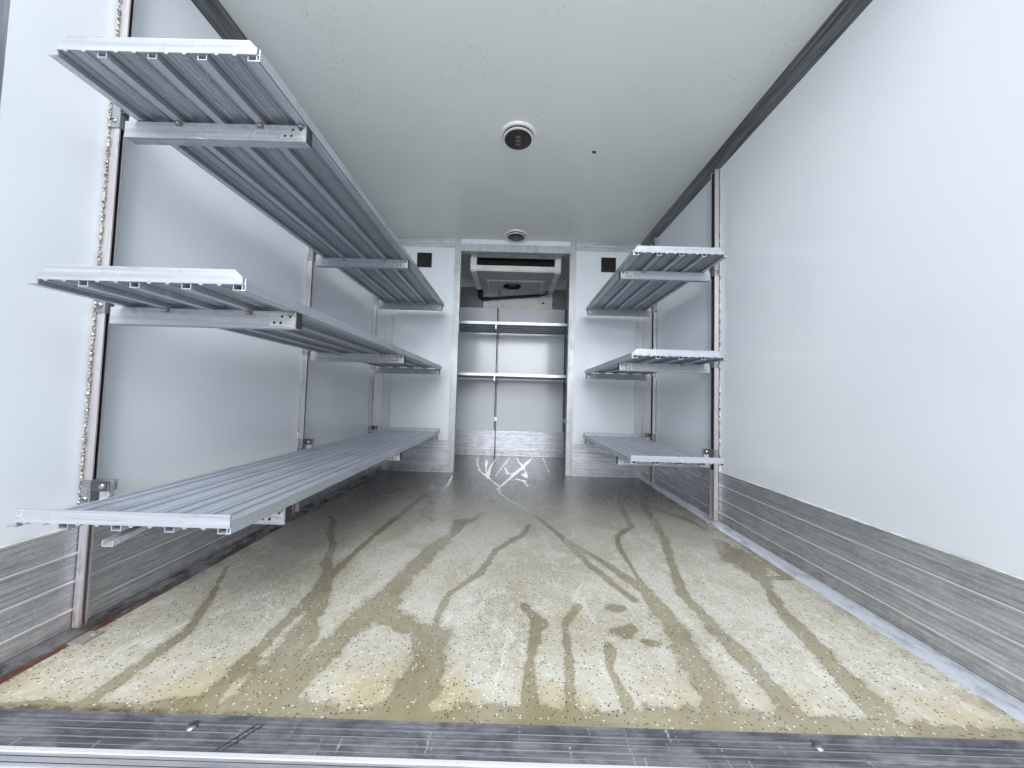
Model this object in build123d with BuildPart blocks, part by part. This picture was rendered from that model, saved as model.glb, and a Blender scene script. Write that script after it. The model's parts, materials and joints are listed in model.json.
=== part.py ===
from build123d import *
import os

os.makedirs("parts", exist_ok=True)

# Insulated load body of a small two-room refrigerated truck, in millimetres.
# X is across the body, +Y points to the cab, +Z is up.
# The origin is the centre of the four outer chassis bolts, at the underside of the subframe.

# Load space
inner_width = 2100
inner_height = 1910
room_length = 2080
partition_thickness = 50
front_room_depth = 812

# Sandwich panels
side_thickness = 80
roof_thickness = 90
floor_thickness = 100
front_thickness = 90
covering_thickness = 6

# Subframe
runner_height = 100
runner_width = 50
runner_wall = 6
runner_gauge = 760
runner_end_gap = 120
cross_height = 60
cross_width = 50
cross_count = 6
foot_length = 160
foot_reach = 70
foot_thickness = 12
foot_height = 80
bolt_radius = 9
bolt_spacing_y = 2200
bolt_spacing_x = runner_gauge + runner_width + foot_reach

# Edge profiles
edge_leg = 60
edge_wall = 3
edge_radius = 22
edge_gap = 1
rail_height = 95

# Rear frame
frame_depth = 100
frame_radius = 8
sill_height = 150
tread_width = 53
tread_thickness = 8
tread_groove = 5
groove_depth = 2
groove_count = 6

# Fittings along the walls
kick_height = 268
kick_partition_height = 255
kick_front_height = 263
kick_thickness = 4
kick_rib = 2
kick_rib_width = 4
kick_planks = 4
kick_front_planks = 9
cove_size = 26
cove_bulge = 0.35
ceiling_leg_wall = 77
ceiling_leg_roof = 30
ceiling_bulge = 0.42

# Partition. What sits high in the body is measured down from its ceiling.
doorway_left = 458
doorway_right = 441
doorway_drop = 100
jamb_width = 53
jamb_wall = 3
header_band = 61
top_band = 75
corner_profile_width = 67
corner_profile_wall = 4
fan_size = 119
fan_x = 757
fan_drop = 187
fan_proud = 10
fan_mouth = 55
fan_recess = 7
fan_hub = 30
fan_strut = 6

# Ceiling lamps, one placed from the room's rear edge and one from the partition
lamp_x = -8
lamp_ring_radius = 91
lamp_dome_radius = 76
lamp_ring_depth = 10
lamp_ring_taper = 25
lamp_dome_depth = 22
lamp_rear = 967
lamp_front_gap = 94

# Uprights
upright_depth = 26
upright_wall = 3
upright_slot_depth = 16

# Shelves, measured from the wall and from the shelf's own level
shelf_levels = (353, 831, 1309)
shelf_inner = 93
plank_pitch = 103.5
plank_count = 4
plank_joint = 3
deck_thickness = 3
deck_sink = 10
shelf_height = 25
rib_width = 20
rib_margin = 1
rib_wall = 2.2
edge_strip = 5
edge_foot = 6
inner_lip = 10
inner_flange = 18
end_wall = 3
end_upstand = 17
end_rise = 2
end_slope = 22
end_chamfer = 16
end_low_upstand = 13

# Arms under the shelves, and the hinges that they fold up on
arm_height = 42
arm_width = 25
arm_plug = 4
stop_gap = 0.3
stop_low = 5
stop_high = 11
pivot_inset = 58
pivot_rise = 12
pivot_radius = 5
pivot_play = 0.1
heel_width = 24
heel_thickness = 10
heel_chamfer = 6
cheek_thickness = 3
cheek_gap = 2
cheek_reach = 13
collar_thickness = 3
collar_low = 40
collar_wing = 22

# Front room shelves
front_post_width = 14
front_post_gap = 30
front_shelf_gap = 12
front_arm_plug = 4
front_arm_gap = 5
spare_low = 9
spare_high = 53
spare_width = 30
spare_reach = 20

# Rear doors
door_thickness = 80
door_gap = 17
door_overlap = 60
door_edge_gap = 5
door_radius = 6
seal_height = 12
seal_width = 22
seal_inset = 20
hinge_reach = 45
hinge_count = 3
hinge_low = 300
hinge_high = 180
strap_height = 60
strap_length = 165
strap_thickness = 6
knuckle_radius = 11
pin_radius = 6
pin_play = 0.1
ear_thickness = 8
ear_gap = 1
ear_root = 10
ear_corner = 5
hinge_foot = 65
hinge_plate = 6
rod_radius = 11
rod_stand = 18
rod_inset = 70
rod_overrun = 22
guide_count = 4
guide_low = 180
guide_high = 60
guide_size = 46
guide_plate = 5
guide_wall = 4
handle_z = 830
handle_length = 300
handle_thickness = 8
handle_height = 28

# Cooler under the front room's ceiling
cooler_middle = -5
cooler_width = 788
cooler_length = 500
cooler_height = 211
cooler_front_gap = 232
cooler_lip = 48
cooler_mouth = 69
cooler_mouth_depth = 70
cooler_brow = 27
cooler_brow_set = 16
cooler_lip_bevel = 10
pod_width = 56
pod_proud = 6
pod_drop = 5
pod_radius = 34
pod_edge = 12
pod_margin = 1
belly_half = 275
belly_start = 211
belly_proud = 8
inlet_x = -35
inlet_start = 367
inlet_radius = 88
inlet_depth = 30
inlet_hub = 32

# Hose and cover plate on the front wall
cover_left = -342
cover_right = 397
cover_drop = 156
cover_height = 181
cover_depth = 7
cover_gap = 0.3
hose_radius = 10
hose_sides = 12
hose_left = -380
hose_right = 320
hose_bend = 60
hose_stand = 44
hose_drop = 258
hose_tail_drop = 196
hose_inlet_drop = 118

# Condenser on the front wall, outside
condenser_width = 1000
condenser_height = 480
condenser_depth = 330
condenser_top_gap = 60
condenser_chin = 90
condenser_chin_rise = 110
condenser_brow = 110
condenser_brow_drop = 60
condenser_lean = 30
condenser_radius = 40
condenser_fan_radius = 150
condenser_fan_x = 230
condenser_fan_hub = 45
condenser_fan_recess = 30
condenser_fan_strut = 10

# Places worked out from the driving sizes
half_in = inner_width / 2
half_out = half_in + side_thickness
floor_bottom = runner_height + cross_height
covering_bottom = floor_bottom + floor_thickness
floor_top = covering_bottom + covering_thickness
ceiling = floor_top + inner_height
roof_top = ceiling + roof_thickness
inner_length = room_length + partition_thickness + front_room_depth
body_length = frame_depth + inner_length + front_thickness
rear_face = -body_length / 2
room_start = rear_face + frame_depth
partition_rear = room_start + room_length
partition_front = partition_rear + partition_thickness
front_face = partition_front + front_room_depth
front_outside = front_face + front_thickness
sides = (("left", -1), ("right", 1))
header_low = ceiling - doorway_drop
leaf_low = floor_top - door_overlap
leaf_high = ceiling + door_overlap


def finish(piece, name):
    """Label a finished piece and write it."""
    piece.part.label = name
    export_step(piece.part, f"parts/{name}.step")


def box_between(x0, x1, y0, y1, z0, z1, mode=Mode.ADD):
    """A block between two corners, added to the part that is being built."""
    with Locations(((x0 + x1) / 2, (y0 + y1) / 2, (z0 + z1) / 2)):
        Box(abs(x1 - x0), abs(y1 - y0), abs(z1 - z0), mode=mode)


def along_room(place):
    """Y of a place counted from the room's rear edge, or back from the partition if it is negative."""
    return room_start + place if place >= 0 else partition_rear + place


def spaced(low, high, count):
    """Evenly spaced places from low to high."""
    return [low + (high - low) * number / (count - 1) for number in range(count)]


def strip(u0, u1, v0, v1, mode=Mode.ADD):
    """A rectangle between two corners, added to the sketch that is being drawn."""
    with Locations(((u0 + u1) / 2, (v0 + v1) / 2)):
        Rectangle(abs(u1 - u0), abs(v1 - v0), mode=mode)


# Sandwich panels

with BuildPart() as floor_panel:
    box_between(-half_in, half_in, room_start, front_face, floor_bottom, covering_bottom)
finish(floor_panel, "floor_panel")

with BuildPart() as floor_covering:
    box_between(-half_in, half_in, room_start, front_face, covering_bottom, floor_top)
finish(floor_covering, "floor_covering")

for side, sign in sides:
    with BuildPart() as side_wall:
        box_between(sign * half_in, sign * half_out, room_start, front_outside, floor_bottom, roof_top)
        outer_face = side_wall.faces().sort_by(Axis.X)[0 if sign < 0 else -1]
        top_edge = outer_face.edges().sort_by(Axis.Z)[-1]
        front_edge = outer_face.edges().sort_by(Axis.Y)[-1]
        fillet([top_edge, front_edge], radius=edge_radius)
    finish(side_wall, f"side_wall_{side}")

with BuildPart() as front_wall:
    box_between(-half_in, half_in, front_face, front_outside, floor_bottom, ceiling)
finish(front_wall, "front_wall")

with BuildPart() as roof_panel:
    box_between(-half_in, half_in, room_start, front_outside, ceiling, roof_top)
finish(roof_panel, "roof_panel")

# Edge profiles that cap the joints between the panels


def corner_outline(corner_u, corner_v, toward_u, toward_v):
    """An angle section round an outer corner, its legs running back over both panels."""
    outer = edge_radius + edge_wall
    with BuildLine() as outline:
        out_u = corner_u - toward_u * edge_wall
        out_v = corner_v - toward_v * edge_wall
        end_u = corner_u + toward_u * edge_leg
        end_v = corner_v + toward_v * edge_leg
        FilletPolyline((end_u, out_v), (out_u, out_v), (out_u, end_v), radius=outer)
        Line((out_u, end_v), (corner_u, end_v))
        FilletPolyline((corner_u, end_v), (corner_u, corner_v), (end_u, corner_v), radius=edge_radius)
        Line((end_u, corner_v), (end_u, out_v))
    make_face(outline.edges())


edge_inside = half_out - edge_leg - edge_gap

with BuildPart() as roof_edges:
    for side, sign in sides:
        with BuildSketch(Plane.XZ.offset(-room_start)):
            corner_outline(sign * half_out, roof_top, -sign, -1)
        extrude(amount=-(front_outside - edge_radius - room_start))
    with BuildSketch(Plane.YZ.offset(-edge_inside)):
        strip(front_outside, front_outside + edge_wall, roof_top - edge_leg, roof_top + edge_wall)
        strip(front_outside - edge_leg, front_outside, roof_top, roof_top + edge_wall)
    extrude(amount=2 * edge_inside)
finish(roof_edges, "roof_edges")

with BuildPart() as front_corners:
    for side, sign in sides:
        with BuildSketch(Plane.XY.offset(floor_bottom)):
            corner_outline(sign * half_out, front_outside, -sign, -1)
        extrude(amount=roof_top - edge_leg - edge_gap - floor_bottom)
finish(front_corners, "front_corners")

with BuildPart() as bottom_rails:
    for side, sign in sides:
        with BuildSketch(Plane.XZ.offset(-room_start)):
            strip(sign * half_out, sign * (half_out + edge_wall), floor_bottom - edge_wall,
                  floor_bottom + rail_height)
            strip(sign * half_in, sign * half_out, floor_bottom - edge_wall, floor_bottom)
        extrude(amount=-(front_outside - edge_leg - edge_gap - room_start))
finish(bottom_rails, "bottom_rails")

# Subframe: two channel runners, cross members on them, and feet with the chassis bolts

with BuildPart() as subframe_runners:
    for side, sign in sides:
        web = sign * (runner_gauge / 2 - runner_width / 2)
        lip = sign * (runner_gauge / 2 + runner_width / 2)
        with BuildSketch(Plane.XZ.offset(-(rear_face + runner_end_gap))):
            strip(web, lip, 0, runner_height)
            strip(web + sign * runner_wall, lip, runner_wall, runner_height - runner_wall,
                  mode=Mode.SUBTRACT)
        extrude(amount=-(body_length - 2 * runner_end_gap))
finish(subframe_runners, "subframe_runners")

with BuildPart() as cross_members:
    for middle in spaced(room_start + cross_width / 2, front_face - cross_width / 2, cross_count):
        box_between(-half_in, half_in, middle - cross_width / 2, middle + cross_width / 2,
                    runner_height, floor_bottom)
finish(cross_members, "cross_members")

foot_rows = (-bolt_spacing_y / 2, 0, bolt_spacing_y / 2)
with BuildPart() as chassis_feet:
    for side, sign in sides:
        rail_side = sign * (runner_gauge / 2 + runner_width / 2)
        reach = rail_side + sign * foot_reach
        for row in foot_rows:
            low = row - foot_length / 2
            high = row + foot_length / 2
            box_between(rail_side, reach, low, high, 0, foot_thickness)
            box_between(rail_side, rail_side + sign * foot_thickness, low, high, 0, foot_height)
            with Locations((sign * bolt_spacing_x / 2, row, foot_thickness / 2)):
                Cylinder(bolt_radius, 2 * foot_thickness, mode=Mode.SUBTRACT)
finish(chassis_feet, "chassis_feet")

# Rear frame

with BuildPart() as rear_sill:
    with BuildSketch(Plane.YZ.offset(-half_out)):
        strip(rear_face, room_start, floor_top - sill_height, floor_top)
        strip(room_start - tread_width, room_start, floor_top - tread_thickness, floor_top,
              mode=Mode.SUBTRACT)
    extrude(amount=2 * half_out)
    rear_edge = rear_sill.edges().filter_by(Axis.X).group_by(Axis.Z)[-1].sort_by(Axis.Y)[0]
    fillet(rear_edge, radius=frame_radius)
finish(rear_sill, "rear_sill")

with BuildPart() as threshold_strip:
    with BuildSketch(Plane.YZ.offset(-half_in)):
        strip(room_start - tread_width, room_start, floor_top - tread_thickness, floor_top)
        for number in range(groove_count):
            middle = room_start - tread_width * (number + 0.5) / groove_count
            strip(middle - tread_groove / 2, middle + tread_groove / 2, floor_top - groove_depth,
                  floor_top, mode=Mode.SUBTRACT)
    extrude(amount=2 * half_in)
finish(threshold_strip, "threshold_strip")

for side, sign in sides:
    with BuildPart() as rear_post:
        box_between(sign * half_in, sign * half_out, rear_face, room_start, floor_top, ceiling)
        outer_edge = rear_post.edges().filter_by(Axis.Z).group_by(Axis.Y)[0]
        fillet(outer_edge.sort_by(Axis.X)[0 if sign < 0 else -1], radius=frame_radius)
    finish(rear_post, f"rear_post_{side}")

with BuildPart() as rear_header:
    box_between(-half_out, half_out, rear_face, room_start, ceiling, roof_top)
    upper_edge = rear_header.edges().filter_by(Axis.X).group_by(Axis.Z)[-1].sort_by(Axis.Y)[0]
    fillet(upper_edge, radius=frame_radius)
finish(rear_header, "rear_header")

# Kick plates, coves and ceiling angles


def kick_section(across, height, planks):
    """Stacked kick planks, each joint marked by a bright raised rib."""
    low = floor_top
    strip(across(0), across(kick_thickness), low, low + height)
    pitch = height / planks
    for number in range(1, planks):
        rib = low + number * pitch
        strip(across(0), across(kick_thickness + kick_rib), rib - kick_rib_width / 2,
              rib + kick_rib_width / 2)


def cove_section(wall_u, toward_u, corner_v, toward_v, width, height, bulge):
    """A hollow-faced corner fillet against a wall and a floor or ceiling."""
    tip_u = wall_u + toward_u * width
    tip_v = corner_v + toward_v * height
    with BuildLine() as outline:
        Line((wall_u, corner_v), (tip_u, corner_v))
        ThreePointArc(
            (tip_u, corner_v),
            (wall_u + toward_u * width * bulge, corner_v + toward_v * height * bulge),
            (wall_u, tip_v),
        )
        Line((wall_u, tip_v), (wall_u, corner_v))
    make_face(outline.edges())


with BuildPart() as kick_plates:
    for side, sign in sides:
        with BuildSketch(Plane.XZ.offset(-room_start)):
            kick_section(lambda depth: sign * (half_in - depth), kick_height, kick_planks)
        extrude(amount=-(room_length - corner_profile_wall))
    with BuildSketch(Plane.YZ.offset(-half_in)):
        kick_section(lambda depth: front_face - depth, kick_front_height, kick_front_planks)
    extrude(amount=2 * half_in)
finish(kick_plates, "kick_plates")

with BuildPart() as floor_coves:
    for side, sign in sides:
        with BuildSketch(Plane.XZ.offset(-room_start)):
            cove_section(sign * (half_in - kick_thickness - kick_rib), -sign, floor_top, 1,
                         cove_size, cove_size, cove_bulge)
        extrude(amount=-(room_length - corner_profile_wall))
finish(floor_coves, "floor_coves")

with BuildPart() as ceiling_angles:
    for side, sign in sides:
        with BuildSketch(Plane.XZ.offset(-room_start)):
            cove_section(sign * half_in, -sign, ceiling, -1, ceiling_leg_roof, ceiling_leg_wall,
                         ceiling_bulge)
        extrude(amount=-(room_length - jamb_wall))
finish(ceiling_angles, "ceiling_angles")

# Partition between the two rooms

doorway = {-1: doorway_left, 1: doorway_right}
for side, sign in sides:
    with BuildPart() as partition_panel:
        box_between(sign * half_in, sign * (doorway[sign] + jamb_wall), partition_rear,
                    partition_front, floor_top, ceiling)
    finish(partition_panel, f"partition_panel_{side}")

with BuildPart() as partition_header:
    box_between(-doorway_left, doorway_right, partition_rear, partition_front,
                header_low + jamb_wall, ceiling)
finish(partition_header, "partition_header")

with BuildPart() as door_jambs:
    for side, sign in sides:
        edge = sign * doorway[sign]
        back = sign * (doorway[sign] + jamb_width)
        with BuildSketch(Plane.XY.offset(floor_top)):
            strip(edge, back, partition_rear - jamb_wall, partition_front + jamb_wall)
            strip(edge + sign * jamb_wall, back, partition_rear, partition_front, mode=Mode.SUBTRACT)
        extrude(amount=inner_height)
finish(door_jambs, "door_jambs")

with BuildPart() as doorway_head:
    with BuildSketch(Plane.YZ.offset(-doorway_left)):
        strip(partition_rear - jamb_wall, partition_front + jamb_wall, header_low,
              header_low + header_band)
        strip(partition_rear, partition_front, header_low + jamb_wall, header_low + header_band,
              mode=Mode.SUBTRACT)
    extrude(amount=doorway_left + doorway_right)
finish(doorway_head, "doorway_head")

with BuildPart() as partition_trim:
    for side, sign in sides:
        inside = sign * (doorway[sign] + jamb_width)
        corner = sign * (half_in - corner_profile_width)
        box_between(inside, corner, partition_rear - jamb_wall, partition_rear,
                    ceiling - top_band, ceiling)
        with BuildSketch(Plane.YZ.offset(inside)):
            kick_section(lambda depth: partition_rear - depth, kick_partition_height,
                         kick_front_planks)
        extrude(amount=corner - inside)
finish(partition_trim, "partition_trim")

with BuildPart() as corner_profiles:
    for side, sign in sides:
        box_between(sign * (half_in - corner_profile_width), sign * half_in,
                    partition_rear - corner_profile_wall, partition_rear, floor_top,
                    ceiling - ceiling_leg_wall)
finish(corner_profiles, "corner_profiles")

with BuildPart() as partition_fans:
    for side, sign in sides:
        centre = (sign * fan_x, ceiling - fan_drop)
        with BuildSketch(Plane.XZ.offset(-partition_rear)):
            with Locations(centre):
                Rectangle(fan_size, fan_size)
        extrude(amount=fan_proud)
        with BuildSketch(Plane.XZ.offset(-(partition_rear - fan_proud))):
            with Locations(centre):
                Circle(fan_mouth)
                Rectangle(2 * fan_mouth, fan_strut, mode=Mode.SUBTRACT)
                Rectangle(fan_strut, 2 * fan_mouth, mode=Mode.SUBTRACT)
                Circle(fan_hub, mode=Mode.SUBTRACT)
        extrude(amount=-fan_recess, mode=Mode.SUBTRACT)
finish(partition_fans, "partition_fans")

# Ceiling lamps

with BuildPart() as ceiling_lamps:
    for y in (room_start + lamp_rear, partition_rear - lamp_front_gap):
        with BuildSketch(Plane.XY.offset(ceiling)):
            with Locations((lamp_x, y)):
                Circle(lamp_ring_radius)
        extrude(amount=-lamp_ring_depth, taper=lamp_ring_taper)
        with BuildSketch(Plane.XY.offset(ceiling - lamp_dome_depth)):
            with Locations((lamp_x, y)):
                Circle(lamp_dome_radius)
        extrude(amount=lamp_dome_depth - lamp_ring_depth)
finish(ceiling_lamps, "ceiling_lamps")

# Uprights on the walls. Columns: side, width along the wall, near faces counted as in along_room
upright_table = (
    ("left", -1, 14, (178, 1010, -268)),
    ("right", 1, 38, (1060, -268)),
)
upright_top = ceiling - ceiling_leg_wall

# The front room's uprights by their middle lines. One of them runs over the cover plate.
front_posts = (-900, -172, 556)
cover_high = ceiling - cover_drop
cover_low = cover_high - cover_height


def upright(across, along, near, width, stretches):
    """One slotted rail, in stretches of its own distance from the wall, base and top."""
    for back, base, top in stretches:
        with BuildSketch(Plane.XY.offset(base)) as section:
            along(across(back), across(upright_depth), near, near + width)
            along(across(upright_depth), across(upright_depth - upright_slot_depth),
                  near + upright_wall, near + width - upright_wall, mode=Mode.SUBTRACT)
        extrude(section.sketch, amount=top - base)


def strip_turned(u0, u1, v0, v1, mode=Mode.ADD):
    """The same rectangle with its two directions swapped."""
    strip(v0, v1, u0, u1, mode=mode)


def front_across(depth):
    """Place along Y at a distance from the front wall."""
    return front_face - depth


kick_face = kick_thickness + kick_rib
with BuildPart() as uprights:
    for side, sign, width, places in upright_table:
        foot = (kick_face, floor_top + cove_size, floor_top + kick_height)
        wall = (0, floor_top + kick_height, upright_top)
        for place in places:
            upright(lambda depth: sign * (half_in - depth), strip, along_room(place), width,
                    (foot, wall))
    for x in front_posts:
        foot = (kick_face, floor_top, floor_top + kick_front_height)
        wall_top = ceiling - front_post_gap
        stretches = [foot, (0, floor_top + kick_front_height, wall_top)]
        if cover_left < x < cover_right:
            stretches = [
                foot,
                (0, floor_top + kick_front_height, cover_low - cover_gap),
                (cover_depth + cover_gap, cover_low - cover_gap, cover_high + cover_gap),
                (0, cover_high + cover_gap, wall_top),
            ]
        upright(front_across, strip_turned, x - front_post_width / 2, front_post_width, stretches)
finish(uprights, "uprights")

# Shelves. The section is drawn by distance from the wall and height over the shelf's level.
shelf_outer = shelf_inner + plank_pitch * plank_count + edge_strip
deck_top = -deck_sink
deck_bottom = deck_top - deck_thickness
shelf_bottom = -shelf_height
arm_bottom = shelf_bottom - arm_height


def shelf_section(across, level):
    """The ribbed plank extrusions of one shelf, side by side, with an edge strip outside."""
    strip(across(shelf_inner), across(shelf_outer), level + deck_bottom, level + deck_top)
    for number in range(plank_count):
        joint = shelf_inner + plank_pitch * (number + 1)
        rib = joint - rib_width - rib_margin
        for wall in (rib, rib + rib_width - rib_wall):
            strip(across(wall), across(wall + rib_wall), level + shelf_bottom, level + deck_top)
        strip(across(rib), across(rib + rib_width), level + shelf_bottom,
              level + shelf_bottom + rib_wall)
        strip(across(joint - plank_joint / 2), across(joint + plank_joint / 2),
              level + deck_top - deck_thickness / 2, level + deck_top, mode=Mode.SUBTRACT)
    strip(across(shelf_outer - rib_wall), across(shelf_outer), level + shelf_bottom, level)
    strip(across(shelf_outer - edge_foot), across(shelf_outer), level + shelf_bottom,
          level + shelf_bottom + rib_wall)
    lip_low = level + deck_bottom - inner_lip
    strip(across(shelf_inner), across(shelf_inner + rib_wall), lip_low, level + deck_top)
    strip(across(shelf_inner - inner_flange), across(shelf_inner), lip_low, lip_low + rib_wall)


def end_outline(across, level, square):
    """An end plate: a plain strip on the lowest shelf, and one with cut corners on the others."""
    if square:
        strip(across(shelf_inner), across(shelf_outer), level + deck_bottom,
              level + end_low_upstand)
    else:
        with BuildLine() as outline:
            Polyline(
                (across(shelf_inner), level + deck_bottom),
                (across(shelf_inner), level + deck_top + end_rise),
                (across(shelf_inner + end_slope), level + end_upstand),
                (across(shelf_outer - end_chamfer - edge_strip), level + end_upstand),
                (across(shelf_outer - edge_strip), level + end_upstand - end_chamfer),
                (across(shelf_outer - edge_strip), level + deck_bottom),
                close=True,
            )
        make_face(outline.edges())


# Columns: side, start of the shelf from the room's rear edge, and its gap to the partition
shelf_table = (
    ("left", -1, 6, 196),
    ("right", 1, 872, 186),
)
shelf_names = ("low", "mid", "top")
arm_middles = {
    side: [along_room(place) + width / 2 for place in places]
    for side, sign, width, places in upright_table
}

for side, sign, start, end_gap in shelf_table:
    def across(depth):
        return sign * (half_in - depth)

    near = room_start + start
    far = partition_rear - end_gap
    for name, height in zip(shelf_names, shelf_levels):
        level = floor_top + height
        with BuildPart() as shelf_deck:
            with BuildSketch(Plane.XZ.offset(-(near + end_wall))):
                shelf_section(across, level)
            extrude(amount=-(far - near - 2 * end_wall))
        finish(shelf_deck, f"shelf_{side}_{name}")

        pivot_z = level + pivot_rise
        with BuildPart() as shelf_frame:
            for face in (near, far - end_wall):
                with BuildSketch(Plane.XZ.offset(-face)):
                    end_outline(across, level, name == "low")
                extrude(amount=-end_wall)
            for middle in arm_middles[side]:
                with BuildSketch(Plane.XZ.offset(-(middle - arm_width / 2))):
                    strip(across(pivot_inset - heel_width / 2), across(shelf_outer - arm_plug),
                          level + arm_bottom, level + shelf_bottom)
                extrude(amount=-arm_width)
                with BuildSketch(Plane.XZ.offset(-(middle - heel_thickness / 2))) as heel:
                    strip(across(pivot_inset - heel_width / 2), across(pivot_inset + heel_width / 2),
                          level + arm_bottom, pivot_z + heel_width / 2)
                    chamfer(heel.vertices().group_by(Axis.Y)[-1], length=heel_chamfer)
                    strip(across(upright_depth + collar_thickness + stop_gap), across(pivot_inset),
                          level + stop_low, level + stop_high)
                    with Locations((across(pivot_inset), pivot_z)):
                        Circle(pivot_radius + pivot_play, mode=Mode.SUBTRACT)
                extrude(amount=-heel_thickness)
        finish(shelf_frame, f"shelf_frame_{side}_{name}")

# Hinge brackets of the shelves: a collar round the upright, two cheeks and the pin between them
cheek_inner = heel_thickness / 2 + cheek_gap
cheek_outer = cheek_inner + cheek_thickness
with BuildPart() as shelf_brackets:
    for side, sign, width, places in upright_table:
        wall = sign * half_in
        face = wall - sign * upright_depth
        plate = face - sign * collar_thickness
        tip = wall - sign * (pivot_inset + cheek_reach)
        wing_inner = width / 2
        wing_outer = wing_inner + collar_thickness
        for height in shelf_levels:
            pivot_z = floor_top + height + pivot_rise
            low = floor_top + height - collar_low
            high = pivot_z + cheek_reach
            for middle in arm_middles[side]:
                box_between(face, plate, middle - wing_outer, middle + wing_outer, low, high)
                for way in (-1, 1):
                    box_between(face + sign * collar_wing, plate, middle + way * wing_inner,
                                middle + way * wing_outer, low, high)
                    box_between(plate, tip, middle + way * cheek_inner, middle + way * cheek_outer,
                                pivot_z - cheek_reach, high)
                pin_place = (wall - sign * pivot_inset, middle, pivot_z)
                with Locations(Location(pin_place, (90, 0, 0))):
                    Cylinder(pivot_radius, 2 * cheek_inner)
finish(shelf_brackets, "shelf_brackets")

# Shelves of the front room, fixed along the front wall

with BuildPart() as front_shelves:
    for height in shelf_levels[1:]:
        with BuildSketch(Plane.YZ.offset(-(half_in - front_shelf_gap))):
            shelf_section(front_across, floor_top + height)
        extrude(amount=2 * (half_in - front_shelf_gap))
finish(front_shelves, "front_shelves")

with BuildPart() as front_brackets:
    for x in front_posts:
        for height in shelf_levels[1:]:
            level = floor_top + height
            with BuildSketch(Plane.YZ.offset(x - heel_thickness / 2)):
                strip(front_across(upright_depth), front_across(shelf_outer - front_arm_plug),
                      level + arm_bottom, level + shelf_bottom)
                strip(front_across(upright_depth),
                      front_across(shelf_inner - inner_flange - front_arm_gap),
                      level + arm_bottom, level + pivot_rise + cheek_reach)
            extrude(amount=heel_thickness)
        spare = floor_top + shelf_levels[0]
        box_between(x - spare_width / 2, x + spare_width / 2, front_across(upright_depth + spare_reach),
                    front_across(upright_depth), spare + spare_low, spare + spare_high)
finish(front_brackets, "front_brackets")

# Cooler under the front room's ceiling: a flat housing with an air mouth along its rear edge,
# rounded pods at both ends, and a round fan inlet in its belly
cooler_low = ceiling - cooler_height
cooler_front = front_face - cooler_front_gap
cooler_back = cooler_front - cooler_length
cooler_left = cooler_middle - cooler_width / 2
cooler_right = cooler_middle + cooler_width / 2
mouth_low = cooler_low + cooler_lip
mouth_high = mouth_low + cooler_mouth
with BuildPart() as cooler_housing:
    with BuildSketch(Plane.YZ.offset(cooler_left + pod_width)):
        with BuildLine():
            Polyline(
                (cooler_back, mouth_low),
                (cooler_back, cooler_low + cooler_lip_bevel),
                (cooler_back + cooler_lip_bevel, cooler_low),
                (cooler_front, cooler_low),
                (cooler_front, ceiling),
                (cooler_back + cooler_brow_set, ceiling),
                (cooler_back + cooler_brow_set, mouth_high + cooler_brow),
                (cooler_back, mouth_high),
                (cooler_back + cooler_mouth_depth, mouth_high),
                (cooler_back + cooler_mouth_depth, mouth_low),
                close=True,
            )
        make_face()
    extrude(amount=cooler_width - 2 * pod_width)
    box_between(cooler_middle - belly_half, cooler_middle + belly_half, cooler_back + belly_start,
                cooler_front, cooler_low - belly_proud, cooler_low)
    with BuildSketch(Plane.XY.offset(cooler_low - belly_proud)):
        with Locations((inlet_x, cooler_back + inlet_start)):
            Circle(inlet_radius)
            Circle(inlet_hub, mode=Mode.SUBTRACT)
    extrude(amount=inlet_depth, mode=Mode.SUBTRACT)
    for start, outer in ((cooler_left, 0), (cooler_right - pod_width, -1)):
        with BuildPart(mode=Mode.PRIVATE) as pod:
            with BuildSketch(Plane.YZ.offset(start)):
                with BuildLine():
                    corner = (cooler_back - pod_proud, cooler_low - pod_drop)
                    FilletPolyline((corner[0], ceiling), corner, (cooler_front, corner[1]),
                                   radius=pod_radius)
                    Polyline((cooler_front, corner[1]), (cooler_front, ceiling), (corner[0], ceiling))
                make_face()
            extrude(amount=pod_width)
            side_face = pod.faces().sort_by(Axis.X)[outer]
            free = side_face.edges().filter_by(
                lambda edge: edge.center().Z < ceiling - pod_margin
                and edge.center().Y < cooler_front - pod_margin
            )
            fillet(free, radius=pod_edge)
        add(pod.part)
finish(cooler_housing, "cooler_housing")

with BuildPart() as pipe_cover:
    box_between(cover_left, cover_right, front_across(cover_depth), front_face, cover_low, cover_high)
finish(pipe_cover, "pipe_cover")

# The hose runs down behind the cooler, along the front wall, and up again at the other end
hose_y = front_across(hose_stand)
hose_inlet = ceiling - hose_inlet_drop
with BuildPart() as cooler_hose:
    with BuildLine():
        route = FilletPolyline(
            (hose_left, cooler_front, hose_inlet),
            (hose_left, hose_y, hose_inlet),
            (hose_left, hose_y, ceiling - hose_drop),
            (hose_right, hose_y, ceiling - hose_tail_drop),
            (hose_right, cooler_front, ceiling - hose_tail_drop),
            radius=hose_bend,
        )
    with BuildSketch(Plane(origin=route @ 0, z_dir=route % 0)):
        RegularPolygon(hose_radius, hose_sides)
    sweep()
finish(cooler_hose, "cooler_hose")

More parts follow.
